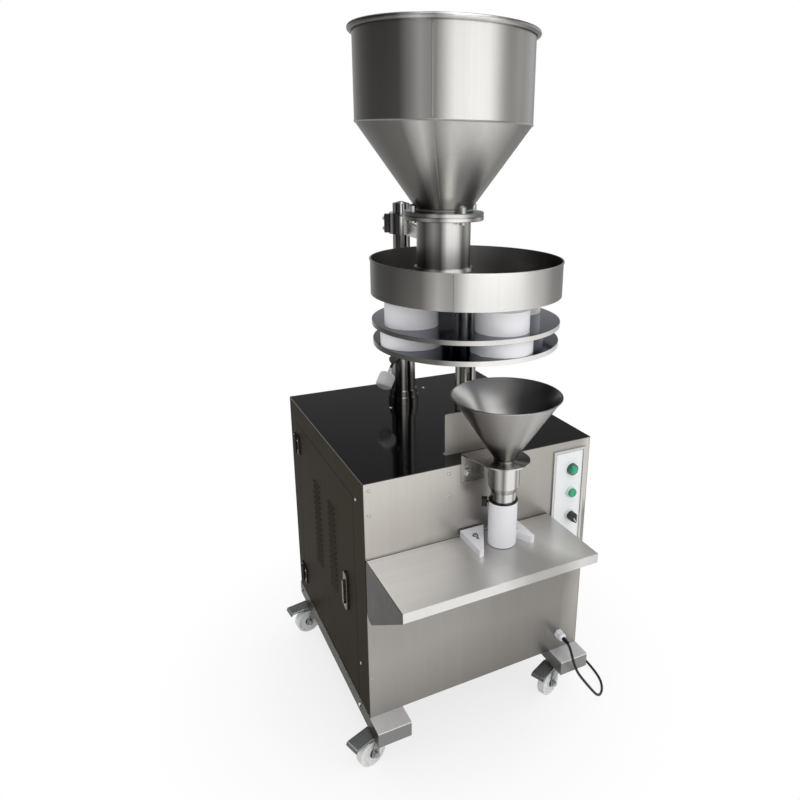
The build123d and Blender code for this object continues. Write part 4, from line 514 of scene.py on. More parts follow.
def cast_paint(name, colour, roughness=0.45):
    """Enamel over a casting: orange peel and slightly worn high spots."""
    finish = Finish(name)
    peel = finish.noise(finish.place(), 260.0, 3.0)
    patches = finish.noise(finish.place(), 18.0, 4.0)
    shade = finish.mix(patches, scaled(colour, 0.85), scaled(colour, 1.15))
    return finish.shade(
        Base_Color=shade,
        Roughness=patches * 0.15 + (roughness - 0.08),
        Normal=finish.bump(peel, 0.0001, 0.5),
    )


def zinc_plate(name, colour):
    """Bright zinc on pressings and fasteners, with a mottled bloom."""
    finish = Finish(name)
    bloom = finish.noise(finish.place(), 60.0, 5.0, 0.6)
    shade = finish.mix(bloom, scaled(colour, 0.75), scaled(colour, 1.1))
    return finish.shade(Base_Color=shade, Metallic=1.0, Roughness=bloom * 0.25 + 0.15)


def sleeve_finish():
    """Outlet sleeve: white turned nylon, black across its top."""
    finish = Finish("white_nylon_black_top")
    _, _, level = finish.split(finish.here())
    is_black_top = level > SLEEVE_BLACK_TOP
    marks = finish.noise(finish.place((1, 1, 0.3)), 22.0, 6.0, 0.6)
    nylon = finish.mix(marks, tone(224, 224, 228), tone(238, 238, 242))
    black_topped = finish.mix(is_black_top, nylon, tone(20, 20, 20))
    return finish.shade(Base_Color=black_topped, Roughness=marks * 0.16 + 0.34)


def lever_finish():
    """Clamp lever: dark turned steel, and a pale moulded grip at its end."""
    finish = Finish("clamp_lever_steel_and_grip")
    low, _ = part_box("clamp_lever")
    is_grip = finish.reach(tuple(corner + GRIP_HALF for corner in low)) < GRIP_REACH
    marks = finish.noise(finish.place(), 30.0, 5.0)
    steel = finish.mix(marks, tone(50, 50, 52), tone(90, 90, 92))
    plastic = finish.mix(marks, tone(196, 196, 196), tone(222, 222, 222))
    return finish.shade(
        Base_Color=finish.mix(is_grip, steel, plastic),
        Metallic=1.0 - is_grip,
        Roughness=marks * 0.15 + is_grip * 0.15 + 0.25,
    )


def lamp_finish():
    """Indicator lamp: clear green lens in a dark green ring."""
    finish = Finish("green_lens_and_ring")
    offset = finish.place((1, 0, 1), shift=(-CONTROL_X * MM, 0, -LAMP_LEVEL * MM))
    from_axis = finish.node("ShaderNodeVectorMath", {"operation": "LENGTH"}, {0: offset}, output="Value")
    marks = finish.noise(finish.place(), 60.0, 3.0)
    ring = finish.mix(marks, tone(14, 62, 50), tone(22, 84, 68))
    lens = finish.mix(marks, tone(20, 140, 104), tone(34, 168, 128))
    return finish.shade(
        Base_Color=finish.mix(from_axis < LENS_RADIUS, ring, lens),
        Roughness=marks * 0.1 + 0.16,
        Coat_Weight=0.5,
    )


# Finishes of the machine
# Front panel tone by height, as painted shade: darker below the shelf, darkest just under it, and lighter
# above it
FRONT_PAINTED_SHADE_BY_LEVEL = [
    (0.14, grey(176)),
    (0.3, grey(192)),
    (0.46, grey(180)),
    (0.56, grey(156)),
    (0.6, grey(220)),
    (0.76, grey(230)),
]
# Painted shade across the front panel's width, lighter towards its side edges
FRONT_PAINTED_SHADE_ACROSS = [(0.2, grey(255)), (0.4, grey(238)), (0.62, grey(210)), (0.76, grey(206)), (0.8, grey(250))]
steel_front = graded_steel("front_sheet_steel", FRONT_PAINTED_SHADE_BY_LEVEL, FRONT_PAINTED_SHADE_ACROSS, GRAIN_UPRIGHT, 0.34)
# Left side and door: the cabinet's steel in a darker tone, as painted shade
steel_side_painted_shade = brushed_steel("side_sheet_steel_painted_shade", tone(86, 81, 73), GRAIN_UPRIGHT, 0.42, 0.1, edge_tint=0.4)
steel_wrap = brushed_steel("wrap_sheet_steel", tone(150, 146, 140), GRAIN_UPRIGHT, 0.36)
# Top plate: polished steel darkened, as a painted dark reflection
steel_top_painted_reflection = polished_steel("top_sheet_steel_painted_reflection", tone(74, 72, 72), 0.09)
SHELF_TONES = [
    (0.2, grey(254)),
    (0.38, grey(250)),
    (0.45, grey(206)),
    (0.52, grey(204)),
    (0.58, grey(244)),
    (0.66, grey(214)),
]
# Shelf: the dark left cheek is painted shade, and the near-black line along the panel is a painted shadow
steel_shelf = shelf_steel("shelf_steel", SHELF_TONES, tone(50, 47, 42), tone(16, 16, 16))
# Beam tones: lit top, painted highlight on the upper edge, painted shade on the sides and the outer face
BEAM_PAINTED_LIGHT_TONES = [tone(250, 250, 252), tone(255, 255, 255), tone(152, 151, 150), tone(60, 57, 52)]
steel_beam = beam_finish("beam_steel", *BEAM_PAINTED_LIGHT_TONES)
steel_guard = brushed_steel("guard_steel", tone(236, 230, 222), GRAIN_UPRIGHT, 0.5, 0.2, metallic=0.75)
# Painted highlights round the discs' rims, by a share of the circle from the left side
DISC_RIM_HIGHLIGHTS = [
    (0.0, grey(60)),
    (0.13, grey(110)),
    (0.165, grey(200)),
    (0.2, grey(250)),
    (0.32, grey(244)),
    (0.39, grey(180)),
    (0.5, grey(120)),
    (0.7, grey(210)),
    (1.0, grey(60)),
]
# Disc faces darkened to a painted reflection of the bowl's underside
steel_upper_disc = disc_finish("upper_disc_steel", "sleeve_disc", tone(104, 108, 122), DISC_RIM_HIGHLIGHTS)
steel_lower_disc = disc_finish("lower_disc_steel", "bottom_disc", tone(104, 108, 122), DISC_RIM_HIGHLIGHTS)
steel_bright = polished_steel("bright_steel", tone(216, 215, 214), 0.12)
steel_frame = polished_steel("frame_steel", tone(216, 216, 214), 0.26)
steel_ground = brushed_steel("ground_shaft_steel", tone(190, 190, 190), (1, 1, 20), 0.25)
weld_bead = brushed_steel("weld_bead", tone(168, 166, 164), (1, 1, 1), 0.4)
zinc = zinc_plate("zinc_pressing", tone(184, 186, 188))
screw_steel = zinc_plate("screw_steel", tone(206, 206, 206))
# Latch: the zinc darkened like the shaded door side, as painted shade
latch_steel_painted_shade = zinc_plate("latch_steel_painted_shade", tone(96, 92, 86))
clamp_steel = zinc_plate("clamp_block_steel", tone(70, 68, 68))
dark_pressing = cast_paint("pedal_pressing", tone(98, 101, 100), 0.4)
white_nylon = moulded_plastic("turned_white_nylon", tone(232, 232, 236), 0.42, 0.05)
wheel_nylon = moulded_plastic("wheel_nylon", tone(232, 234, 232), 0.4, 0.08)
hub_grey = moulded_plastic("wheel_hub_grey", tone(70, 72, 74), 0.45, 0.1)
black_plastic = moulded_plastic("black_moulding", tone(22, 22, 23), 0.42, 0.2)
panel_face = moulded_plastic("panel_overlay", tone(236, 238, 240), 0.35, 0.03)
clear_ring = moulded_plastic("pale_bezel", tone(214, 222, 218), 0.18, 0.04, 0.00001, 0.5)
lens_green = moulded_plastic("green_lens", tone(30, 160, 120), 0.1, 0.1, 0.00001, 0.7)
button_green = moulded_plastic("green_button_cap", tone(24, 160, 116), 0.25, 0.08, 0.00001, 0.3)
motor_paint = cast_paint("motor_enamel", tone(96, 108, 118))
belt_rubber = moulded_plastic("belt_rubber", tone(26, 26, 27), 0.6, 0.2, 0.0002)
cord_rubber = moulded_plastic("cord_sheath", tone(16, 16, 17), 0.5, 0.2, 0.00005)


def axis_of(name):
    """Upright axis of a round node, in metres."""
    low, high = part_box(name)
    return (low[0] + high[0]) / 2, (low[1] + high[1]) / 2


# Painted reflections: upright light and dark streaks round the feed pieces, by a share of the circle from
# the left side, anticlockwise
HOPPER_PAINTED_REFLECTIONS = [
    (0.0, grey(104)),
    (0.045, grey(100)),
    (0.105, grey(118)),
    (0.14, grey(212)),
    (0.163, grey(152)),
    (0.19, grey(216)),
    (0.25, grey(222)),
    (0.29, grey(176)),
    (0.33, grey(126)),
    (0.4, grey(116)),
    (0.5, grey(190)),
    (0.62, grey(130)),
    (0.8, grey(200)),
    (0.9, grey(130)),
    (1.0, grey(104)),
]
BOWL_PAINTED_REFLECTIONS = [
    (0.0, grey(64)),
    (0.05, grey(92)),
    (0.105, grey(136)),
    (0.13, grey(216)),
    (0.151, grey(180)),
    (0.175, grey(250)),
    (0.26, grey(248)),
    (0.3, grey(218)),
    (0.33, grey(165)),
    (0.38, grey(104)),
    (0.46, grey(92)),
    (0.64, grey(180)),
    (0.78, grey(120)),
    (0.9, grey(150)),
    (1.0, grey(64)),
]
FUNNEL_PAINTED_REFLECTIONS = [
    (0.0, grey(150)),
    (0.05, grey(100)),
    (0.1, grey(128)),
    (0.15, grey(166)),
    (0.2, grey(198)),
    (0.26, grey(192)),
    (0.31, grey(150)),
    (0.37, grey(120)),
    (0.5, grey(116)),
    (0.6, grey(130)),
    (0.72, grey(226)),
    (0.82, grey(232)),
    (0.9, grey(150)),
    (1.0, grey(110)),
]
TUBE_PAINTED_REFLECTIONS = [
    (0.0, grey(130)),
    (0.06, grey(96)),
    (0.12, grey(206)),
    (0.16, grey(120)),
    (0.2, grey(236)),
    (0.27, grey(238)),
    (0.3, grey(150)),
    (0.34, grey(206)),
    (0.39, grey(90)),
    (0.5, grey(140)),
    (0.62, grey(178)),
    (0.9, grey(178)),
    (1.0, grey(130)),
]
COLUMN_PAINTED_REFLECTIONS = [
    (0.0, grey(70)),
    (0.05, grey(180)),
    (0.09, grey(40)),
    (0.13, grey(90)),
    (0.16, grey(60)),
    (0.185, grey(240)),
    (0.225, grey(244)),
    (0.25, grey(20)),
    (0.28, grey(30)),
    (0.3, grey(214)),
    (0.33, grey(120)),
    (0.38, grey(40)),
    (0.5, grey(200)),
    (0.62, grey(60)),
    (0.75, grey(220)),
    (0.86, grey(50)),
    (1.0, grey(70)),
]
HOPPER_AXIS = axis_of("hopper_shell")
steel_column = rolled_steel("column_steel", axis_of("mast"), COLUMN_PAINTED_REFLECTIONS, 0.2)
steel_housing = rolled_steel("housing_steel", axis_of("shaft_housing"), COLUMN_PAINTED_REFLECTIONS, 0.2)
steel_hopper = rolled_steel("hopper_steel", HOPPER_AXIS, HOPPER_PAINTED_REFLECTIONS, 0.34)
steel_bowl = rolled_steel("bowl_steel", axis_of("bowl"), BOWL_PAINTED_REFLECTIONS, 0.3)
steel_funnel = rolled_steel("funnel_steel", axis_of("discharge_funnel"), FUNNEL_PAINTED_REFLECTIONS, 0.3)
steel_neck = rolled_steel("neck_steel", HOPPER_AXIS, TUBE_PAINTED_REFLECTIONS, 0.36)
steel_bracket = rolled_steel("bracket_steel", axis_of("discharge_funnel"), TUBE_PAINTED_REFLECTIONS, 0.26)

node_finishes = {
    "base_beams": steel_beam,
    "front_panel": steel_front,
    "wrap_panel": steel_wrap,
    "left_frame": steel_side_painted_shade,
    "top_plate": steel_top_painted_reflection,
    "bottom_plate": steel_wrap,
    "shelf": steel_shelf,
    "bottle_locators": white_nylon,
    "guard_plate": steel_guard,
    "funnel_bracket": steel_bracket,
    "discharge_funnel": steel_funnel,
    "column_tube": steel_column,
    "shaft_housing": steel_housing,
    "shaft_bearings": steel_ground,
    "gear_motor": motor_paint,
    "drive_belt": belt_rubber,
    "electrical_board": zinc,
    "control_panel": steel_frame,
    "indicator_lamp": lamp_finish(),
    "control_bezels": clear_ring,
    "cable_gland": white_nylon,
    "frame_hinges": black_plastic,
    "caster_plates": zinc,
    "mains_plug": black_plastic,
    "bowl": steel_bowl,
    "measuring_cups": white_nylon,
    "rotor_shaft": steel_ground,
    "driven_pulley": zinc,
    "sleeve_disc": steel_upper_disc,
    "cup_sleeves": white_nylon,
    "bottom_disc": steel_lower_disc,
    "drive_pulley": zinc,
    "mast": steel_column,
    "hopper_arm": steel_column,
    "hopper_neck": steel_neck,
    "hopper_shell": steel_hopper,
    "flange_bolts": zinc,
    "clamp_lever": lever_finish(),
    "door_panel": steel_side_painted_shade,
    "door_hinges": black_plastic,
    "latch_housing": latch_steel_painted_shade,
    "latch_handle": latch_steel_painted_shade,
    "push_button": button_green,
    "selector_knob": black_plastic,
    "discharge_sleeve": sleeve_finish(),
    "thumb_screw": black_plastic,
}
for corner in CASTER_HEADINGS:
    node_finishes[f"{corner}_fork"] = zinc
    node_finishes[f"{corner}_wheel"] = wheel_nylon
    node_finishes[f"{corner}_pedal"] = dark_pressing

for name, material in node_finishes.items():
    nodes[name].data.materials.clear()
    nodes[name].data.materials.append(material)


def face_on(origin, out, up=UP):
    """Place for a shape drawn in millimetres: its +Z goes out and its +Y goes up, from an origin."""
    z = Vector(out).normalized()
    x = Vector(up).cross(z).normalized()
    turn = Matrix((x, z.cross(x), z)).transposed()
    return Matrix.Translation(Vector(origin) * MM) @ turn.to_4x4() @ Matrix.Scale(MM, 4)


def on_front(spots, face):
    """Places at (x, z) spots that look to the operator."""
    return [face_on((x, face, z), TO_OPERATOR) for x, z in spots]


def on_left(spots, face):
    """Places at (y, z) spots that look to the left."""
    return [face_on((face, y, z), TO_LEFT) for y, z in spots]


def on_level(spots, level):
    """Places at (x, y) spots that look up."""
    return [face_on((x, y, level), UP, TO_REAR) for x, y in spots]


def outward(angle):
    """Level direction at an angle in degrees."""
    return Vector((math.cos(math.radians(angle)), math.sin(math.radians(angle)), 0))


def on_round(axis, angle, radius, level, lean=0.0):
    """Place on a round wall, out from its upright axis and leaning down by an angle in degrees."""
    out = outward(angle)
    lean = math.radians(lean)
    origin = Vector((*axis, level)) + out * radius
    looking = out * math.cos(lean) - UP * math.sin(lean)
    return face_on(origin, looking, UP * math.cos(lean) + out * math.sin(lean))


def soften(shape, edges, width, segments=2):
    bmesh.ops.bevel(
        shape,
        geom=edges,
        offset=width,
        offset_type="OFFSET",
        segments=segments,
        profile=0.5,
        affect="EDGES",
        material=-1,
        clamp_overlap=True,
    )


def turned(outline, steps=40, closed=False):
    """Spin an outline of (radius, height) points about Z."""
    shape = bmesh.new()
    points = [shape.verts.new((radius, 0, height)) for radius, height in outline]
    ends = points[1:] + points[:1] if closed else points[1:]
    edges = [shape.edges.new(pair) for pair in zip(points, ends)]
    bmesh.ops.spin(
        shape,
        geom=points + edges,
        cent=(0, 0, 0),
        axis=(0, 0, 1),
        angle=math.tau,
        steps=steps,
        use_merge=True,
    )
    bmesh.ops.remove_doubles(shape, verts=shape.verts, dist=0.001)
    bmesh.ops.recalc_face_normals(shape, faces=shape.faces)
    return shape


def top_edges(shape, height):
    """Edges round the top face of a shape that stands on the XY plane."""
    return [e for e in shape.edges if min(v.co.z for v in e.verts) > height * 0.99]


def block(width, depth, height, corner=0.0, edge=0.3):
    """Round-cornered plate or bar on the XY plane, with a softened top edge."""
    shape = bmesh.new()
    stretch = Matrix.Translation((0, 0, height / 2)) @ Matrix.Diagonal((width, depth, height, 1))
    bmesh.ops.create_cube(shape, size=1.0, matrix=stretch)
    if corner:
        upright = [e for e in shape.edges if abs(e.verts[0].co.z - e.verts[1].co.z) > height / 2]
        soften(shape, upright, corner, 5)
    soften(shape, top_edges(shape, height), edge)
    return shape


def tray(width, depth, height, corner, rim):
    """Plate with a raised rim round a sunk middle."""
    shape = block(width, depth, height, corner)
    middle = max(shape.faces, key=lambda face: face.calc_center_median().z + face.calc_area() * MM)
    bmesh.ops.inset_region(shape, faces=[middle], thickness=rim, use_even_offset=True)
    sink = -height * 0.7
    bmesh.ops.inset_region(shape, faces=[middle], thickness=0.3, depth=sink, use_even_offset=True)
    bmesh.ops.recalc_face_normals(shape, faces=shape.faces)
    return shape


def pan_head(radius, height):
    """Pan head with a driving recess."""
    return turned(
        [
            (0, height * 0.5),
            (radius * 0.3, height * 0.5),
            (radius * 0.36, height * 0.98),
            (radius * 0.62, height),
            (radius * 0.9, height * 0.72),
            (radius, height * 0.25),
            (radius, 0),
            (0, 0),
        ],
        steps=24,
    )


def cap_head(radius, height):
    """Socket cap head."""
    return turned(
        [
            (0, height * 0.35),
            (radius * 0.5, height * 0.35),
            (radius * 0.55, height),
            (radius * 0.92, height),
            (radius, height * 0.9),
            (radius, 0),
            (0, 0),
        ],
        steps=24,
    )


def washer(inner, outer, height):
    outline = [(inner, 0), (outer, 0), (outer, height * 0.8), (outer * 0.97, height), (inner, height)]
    return turned(outline, 32, True)


def hex_head(across, height):
    """Hexagon nut or bolt head, with its corners taken off."""
    shape = bmesh.new()
    radius = across / math.sqrt(3)
    lift = Matrix.Translation((0, 0, height / 2))
    bmesh.ops.create_cone(
        shape, cap_ends=True, segments=6, radius1=radius, radius2=radius, depth=height, matrix=lift
    )
    soften(shape, top_edges(shape, height), height * 0.15)
    return shape


class Trim:
    """A trim piece in the making: shapes drawn in millimetres and stamped at places on one body."""

    def __init__(self, name, body, finish, slot):
        self.name = name
        self.body = body
        self.finish = finish
        self.slot = slot
        self.shape = bmesh.new()

    def stamp(self, drawn, *places):
        """Copy a drawn shape to each place."""
        for place in places:
            mesh = bpy.data.meshes.new("stamp")
            drawn.to_mesh(mesh)
            mesh.transform(place)
            self.shape.from_mesh(mesh)
            bpy.data.meshes.remove(mesh)
        drawn.free()

    def fit(self):
        """Finish the piece and fasten it to its body."""
        mesh = bpy.data.meshes.new(self.name)
        self.shape.to_mesh(mesh)
        self.shape.free()
        mesh.materials.append(self.finish)
        mesh.shade_smooth()
        mesh.set_sharp_from_angle(angle=math.radians(SHARP_EDGE))
        piece = bpy.data.objects.new(self.name, mesh)
        bpy.context.scene.collection.objects.link(piece)
        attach(piece, self.body)


def cabinet_fasteners():
    """Screws and bolts of the sheets, the bracket, the guard plate, the locators and the beams."""
    heads = Trim("sheet_screws", "machine_frame", screw_steel, "zinc")
    heads.stamp(pan_head(4.5, 2), *on_front(FRONT_SCREWS, FRONT_FACE))
    heads.stamp(pan_head(4.5, 2), *[face_on((x, REAR_FACE, z), TO_REAR) for x, z in REAR_SCREWS])
    heads.stamp(pan_head(4, 1.6), *on_left(STRIP_SCREWS, LEFT_FACE))
    heads.stamp(pan_head(4.5, 2.4), *on_level(TOP_SCREWS, TOP_FACE))
    heads.stamp(pan_head(3.5, 2), *on_level(GUARD_SCREWS, GUARD_FOOT_TOP))
    heads.fit()

    bolts = Trim("bracket_bolts", "machine_frame", screw_steel, "zinc")
    bolts.stamp(washer(4, 9, 1.2), *on_front(BRACKET_BOLTS, BRACKET_FACE))
    bolts.stamp(hex_head(10, 4.5), *on_front(BRACKET_BOLTS, BRACKET_FACE - 1.2))
    bolts.stamp(hex_head(10, 4), *on_left(BEAM_BOLTS, LEFT_FACE))
    bolts.fit()

    holds = Trim("locator_screws", "machine_frame", screw_steel, "zinc")
    holds.stamp(washer(3, 7.5, 0.8), *on_level(LOCATOR_SCREWS, LOCATOR_TOP))
    holds.stamp(cap_head(4.5, 4), *on_level(LOCATOR_SCREWS, LOCATOR_TOP + 0.8))
    holds.fit()


def rolled_seams():
    """Weld seams of the hopper and the bowl, and the bead where cone and cylinder meet."""
    hopper_axis = [c / MM for c in HOPPER_AXIS]
    seams = Trim("hopper_seams", "hopper", weld_bead, "stainless")
    angle, radius, low, high = HOPPER_SEAM
    wall = on_round(hopper_axis, angle, radius - SEAM_SINK, (low + high) / 2)
    seams.stamp(block(3.2, high - low, 0.7, 1.2), wall)
    angle, throat, cone_low, cone_high = CONE_SEAM
    lean = math.degrees(math.atan2(radius - throat, cone_high - cone_low))
    slant = math.hypot(radius - throat, cone_high - cone_low)
    halfway = (radius + throat) / 2 - SEAM_SINK
    cone_wall = on_round(hopper_axis, angle, halfway, (cone_low + cone_high) / 2, lean)
    seams.stamp(block(3.2, slant - 6, 0.7, 1.2), cone_wall)
    bead = [
        (radius - 0.3, -2.2),
        (radius + 0.6, -1.2),
        (radius + 0.9, 0),
        (radius + 0.6, 1.2),
        (radius - 0.3, 2.2),
    ]
    seams.stamp(turned(bead, 96, True), face_on((*hopper_axis, cone_high), UP, TO_REAR))
    foot = [(throat + 3, -3), (throat + 4.6, -1.5), (throat + 4.8, 0.6), (throat + 3, 2.2)]
    seams.stamp(turned(foot, 64, True), face_on((*hopper_axis, cone_low), UP, TO_REAR))
    seams.fit()

    angle, radius, low, high = BOWL_SEAM
    seam = Trim("bowl_seam", "turntable", weld_bead, "stainless")
    wall = on_round(ROTOR, angle, radius - SEAM_SINK, (low + high) / 2)
    seam.stamp(block(3, high - low, 0.6, 1), wall)
    seam.fit()


def feed_trim():
    """Bands round the cup necks, the black ring round the top of the outlet sleeve and the mast clamp's side
    block.
    """
    bands = Trim("cup_bands", "turntable", steel_bright, "stainless")
    for angle in CUP_ANGLES:
        centre = Vector((*ROTOR, CUP_TOP)) + CUP_PITCH_RADIUS * outward(angle)
        bands.stamp(turned(CUP_BAND, 64, True), face_on(centre, UP, TO_REAR))
    bands.fit()

    black_ring = Trim("sleeve_black_ring", "outlet_sleeve", black_plastic, "black_plastic")
    black_ring.stamp(turned(SLEEVE_BLACK_RING, 64, True), face_on((*DISCHARGE, SLEEVE_RING_LEVEL), UP, TO_REAR))
    black_ring.fit()

    clamp = Trim("clamp_side_block", "hopper", clamp_steel, "dark_steel")
    side = on_round(COLUMN, CLAMP_BLOCK_ANGLE, CLAMP_BLOCK_REACH, CLAMP_BLOCK_LEVEL)
    clamp.stamp(block(22, 48, CLAMP_BLOCK_THICKNESS, 2, 1), side)
    clamp.fit()
    bolts = Trim("clamp_side_bolts", "hopper", screw_steel, "zinc")
    outside = CLAMP_BLOCK_REACH + CLAMP_BLOCK_THICKNESS
    for level in (CLAMP_BLOCK_LEVEL - CLAMP_BOLT_STEP, CLAMP_BLOCK_LEVEL + CLAMP_BOLT_STEP):
        bolts.stamp(cap_head(5, 5), on_round(COLUMN, CLAMP_BLOCK_ANGLE, outside, level))
    bolts.fit()


def control_trim():
    """White overlay of the control panel, lamp lens, pointer line and the small dark plug."""
    overlay = Trim("panel_overlay", "machine_frame", panel_face, "panel_white")
    overlay.stamp(tray(*OVERLAY_SIZE, OVERLAY_SHEET, 3, 1.6), *on_front([OVERLAY_CENTRE], OVERLAY_FACE))
    overlay.fit()

    lens = Trim("lamp_lens", "machine_frame", lens_green, "lamp_green")
    lens.stamp(turned(LENS_DOME, 40), *on_front([(CONTROL_X, LAMP_LEVEL)], LAMP_FACE))
    lens.fit()

    angle = math.radians(SELECTOR_ANGLE)
    pointer = Vector((math.cos(angle), 0, math.sin(angle)))
    line_middle = Vector((CONTROL_X, SELECTOR_FACE, SELECTOR_LEVEL)) + pointer * SELECTOR_LINE_REACH
    line = Trim("selector_line", "mode_selector", panel_face, "panel_white")
    line.stamp(block(1.8, 13, 0.4, 0.6, 0.15), face_on(line_middle, TO_OPERATOR, pointer))
    line.fit()

    dot = Trim("panel_plug", "machine_frame", black_plastic, "black_plastic")
    dot.stamp(pan_head(3.4, 1.4), *on_front([PANEL_DOT], OVERLAY_FACE - 0.3))
    dot.fit()


def door_trim():
    """Hinge screws and the lock barrel of the latch."""
    levels = [level + step for level in HINGE_LEVELS for step in (-HINGE_SCREW_STEP, HINGE_SCREW_STEP)]
    for name, body, y in (
        ("frame_hinge_screws", "machine_frame", FRAME_LEAF_Y),
        ("door_hinge_screws", "door", DOOR_LEAF_Y),
    ):
        heads = Trim(name, body, screw_steel, "zinc")
        heads.stamp(pan_head(3.2, 1), *on_left([(y, z) for z in levels], HINGE_FACE))
        heads.fit()
    barrel = Trim("latch_barrel", "door", screw_steel, "zinc")
    barrel.stamp(turned(BARREL_OUTLINE, 32), *on_left([LATCH_LOCK], LATCH_FACE))
    barrel.fit()


def caster_trim(name):
    """Axle nuts, hub rings, and the rimmed and ribbed tread of the brake pedal."""
    trail = outward(CASTER_HEADINGS[name])
    across = trail.cross(UP)
    low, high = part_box(f"{name}_wheel")
    axle = (Vector(low) + Vector(high)) / 2 / MM
    nuts = Trim(f"{name}_axle_nuts", f"{name}_swivel", screw_steel, "zinc")
    washers = Trim(f"{name}_axle_washers", f"{name}_swivel", zinc, "zinc")
    hubs = Trim(f"{name}_hub_rings", f"{name}_roller", hub_grey, "wheel_nylon")
    for out in (across, -across):
        nuts.stamp(hex_head(13, NUT_HEIGHT), face_on(axle + out * AXLE_END, out))
        nuts.stamp(pan_head(4, 1.5), face_on(axle + out * (AXLE_END + NUT_HEIGHT), out))
        washers.stamp(washer(7.4, 11, 1.4), face_on(axle + out * FORK_OUTER, out))
        hubs.stamp(turned(HUB_RING, 40, True), face_on(axle + out * WHEEL_HALF, out))
    for piece in (nuts, washers, hubs):
        piece.fit()

    slope = math.radians(PEDAL_SLOPE)
    down_tread = trail * math.cos(slope) - UP * math.sin(slope)
    off_tread = UP * math.cos(slope) + trail * math.sin(slope)
    kingpin = axle - trail * CASTER_TRAIL
    middle = Vector((kingpin.x, kingpin.y, PEDAL_LEVEL)) + trail * PEDAL_MIDDLE
    rim = Trim(f"{name}_pedal_rim", f"{name}_brake", screw_steel, "zinc")
    rim.stamp(tray(*PEDAL_SIZE, 1.5, 3, 1.8), face_on(middle, off_tread, down_tread))
    rim.fit()
    tread = Trim(f"{name}_pedal_tread", f"{name}_brake", dark_pressing, "dark_steel")
    width, length = [side - PEDAL_BORDER for side in PEDAL_SIZE]
    plate = face_on(middle + off_tread * 0.35, off_tread, down_tread)
    tread.stamp(block(width, length, 0.5, 2, 0.2), plate)
    ribs = [middle + off_tread * 0.7 + down_tread * reach for reach in PEDAL_RIB_REACHES]
    tread.stamp(block(29, 2.4, 1.1, 1, 0.4), *[face_on(spot, off_tread, down_tread) for spot in ribs])
    tread.fit()


def lead_trim():
    """Grip ribs on the gland's dome and the plug, and the tapered sleeve on the lead at the gland."""
    ribs = Trim("gland_ribs", "machine_frame", white_nylon, "white_nylon")
    dome = Vector((GLAND[0], FRONT_FACE - GLAND_DOME_REACH, GLAND[1]))
    for step in range(GLAND_RIBS):
        angle = math.tau * step / GLAND_RIBS
        out = Vector((math.cos(angle), 0, math.sin(angle)))
        spot = dome + out * (GLAND_DOME_RADIUS - 0.3)
        ribs.stamp(block(1.6, 9, 1, 0.6, 0.3), face_on(spot, out, TO_OPERATOR))
    ribs.fit()
    grips = Trim("plug_grips", "machine_frame", black_plastic, "black_plastic")
    for reach in PLUG_RIB_REACHES:
        spot = Vector((PLUG_BODY_START + reach, PLUG_START[1], PLUG_START[2] + PLUG_RADIUS - 0.4))
        grips.stamp(block(2.4, 12, 1, 0.8, 0.4), face_on(spot, UP, TO_REAR))
    grips.fit()
    relief = Trim("lead_relief", "machine_frame", cord_rubber, "cord_black")
    outline = [(3.2, -2), (RELIEF_RADIUS, -2), (RELIEF_RADIUS, 0)]
    for groove in range(RELIEF_RINGS):
        start = RELIEF_LENGTH * groove / RELIEF_RINGS
        radius = RELIEF_RADIUS - RELIEF_TAPER * groove / RELIEF_RINGS
        outline += [
            (radius, start + 0.4),
            (radius - 0.2, start + 2.4),
            (radius - 1, start + 2.7),
            (radius - 1, start + 3.6),
        ]
    outline += [(4.2, RELIEF_LENGTH), (3.2, RELIEF_LENGTH)]
    relief.stamp(turned(outline, 32, True), face_on(CORD_ROUTE[0], TO_OPERATOR))
    relief.fit()


def mains_lead():
    """The free lead: its route on the floor, a coil behind the cabinet and a short tail to the plug."""
    points = [Vector(point) for point in CORD_ROUTE]
    floor_steps = COIL_TURN_POINTS * COIL_FLOOR_TURNS
    upper_steps = int(COIL_TURN_POINTS * COIL_UPPER_TURNS)
    for step in range(floor_steps + upper_steps + 1):
        angle = math.radians(-90 - 360 * step / COIL_TURN_POINTS)
        if step <= floor_steps:
            radius = COIL_OUTER + (COIL_INNER - COIL_OUTER) * step / floor_steps
            level = CORD_REST
        else:
            part = (step - floor_steps) / upper_steps
            radius = COIL_INNER + (COIL_MIDDLE - COIL_INNER) * min(1.0, COIL_WIDENING * part)
            climbed = min(1.0, COIL_CLIMB * (step - floor_steps) / COIL_TURN_POINTS)
            level = CORD_REST + CORD_DIAMETER / MM * climbed
        x = COIL_CENTRE[0] + radius * math.cos(angle)
        y = COIL_CENTRE[1] + radius * math.sin(angle)
        points.append(Vector((x, y, level)))
    points += [Vector(PLUG_START) + Vector(offset) for offset in PLUG_TAIL]
    curve = bpy.data.curves.new("mains_lead", "CURVE")
    curve.dimensions = "3D"
    curve.bevel_depth = CORD_DIAMETER / 2
    curve.bevel_resolution = 3
    curve.use_fill_caps = True
    curve.resolution_u = 6
    spline = curve.splines.new("NURBS")
    spline.points.add(len(points) - 1)
    for target, point in zip(spline.points, points):
        target.co = (*(point * MM), 1.0)
    spline.order_u = 3
    spline.use_endpoint_u = True
    lead = bpy.data.objects.new("mains_lead", curve)
    bpy.context.scene.collection.objects.link(lead)
    curve.materials.append(cord_rubber)
    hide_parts("mains_cord", "cord_coil")
    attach(lead, "machine_frame")


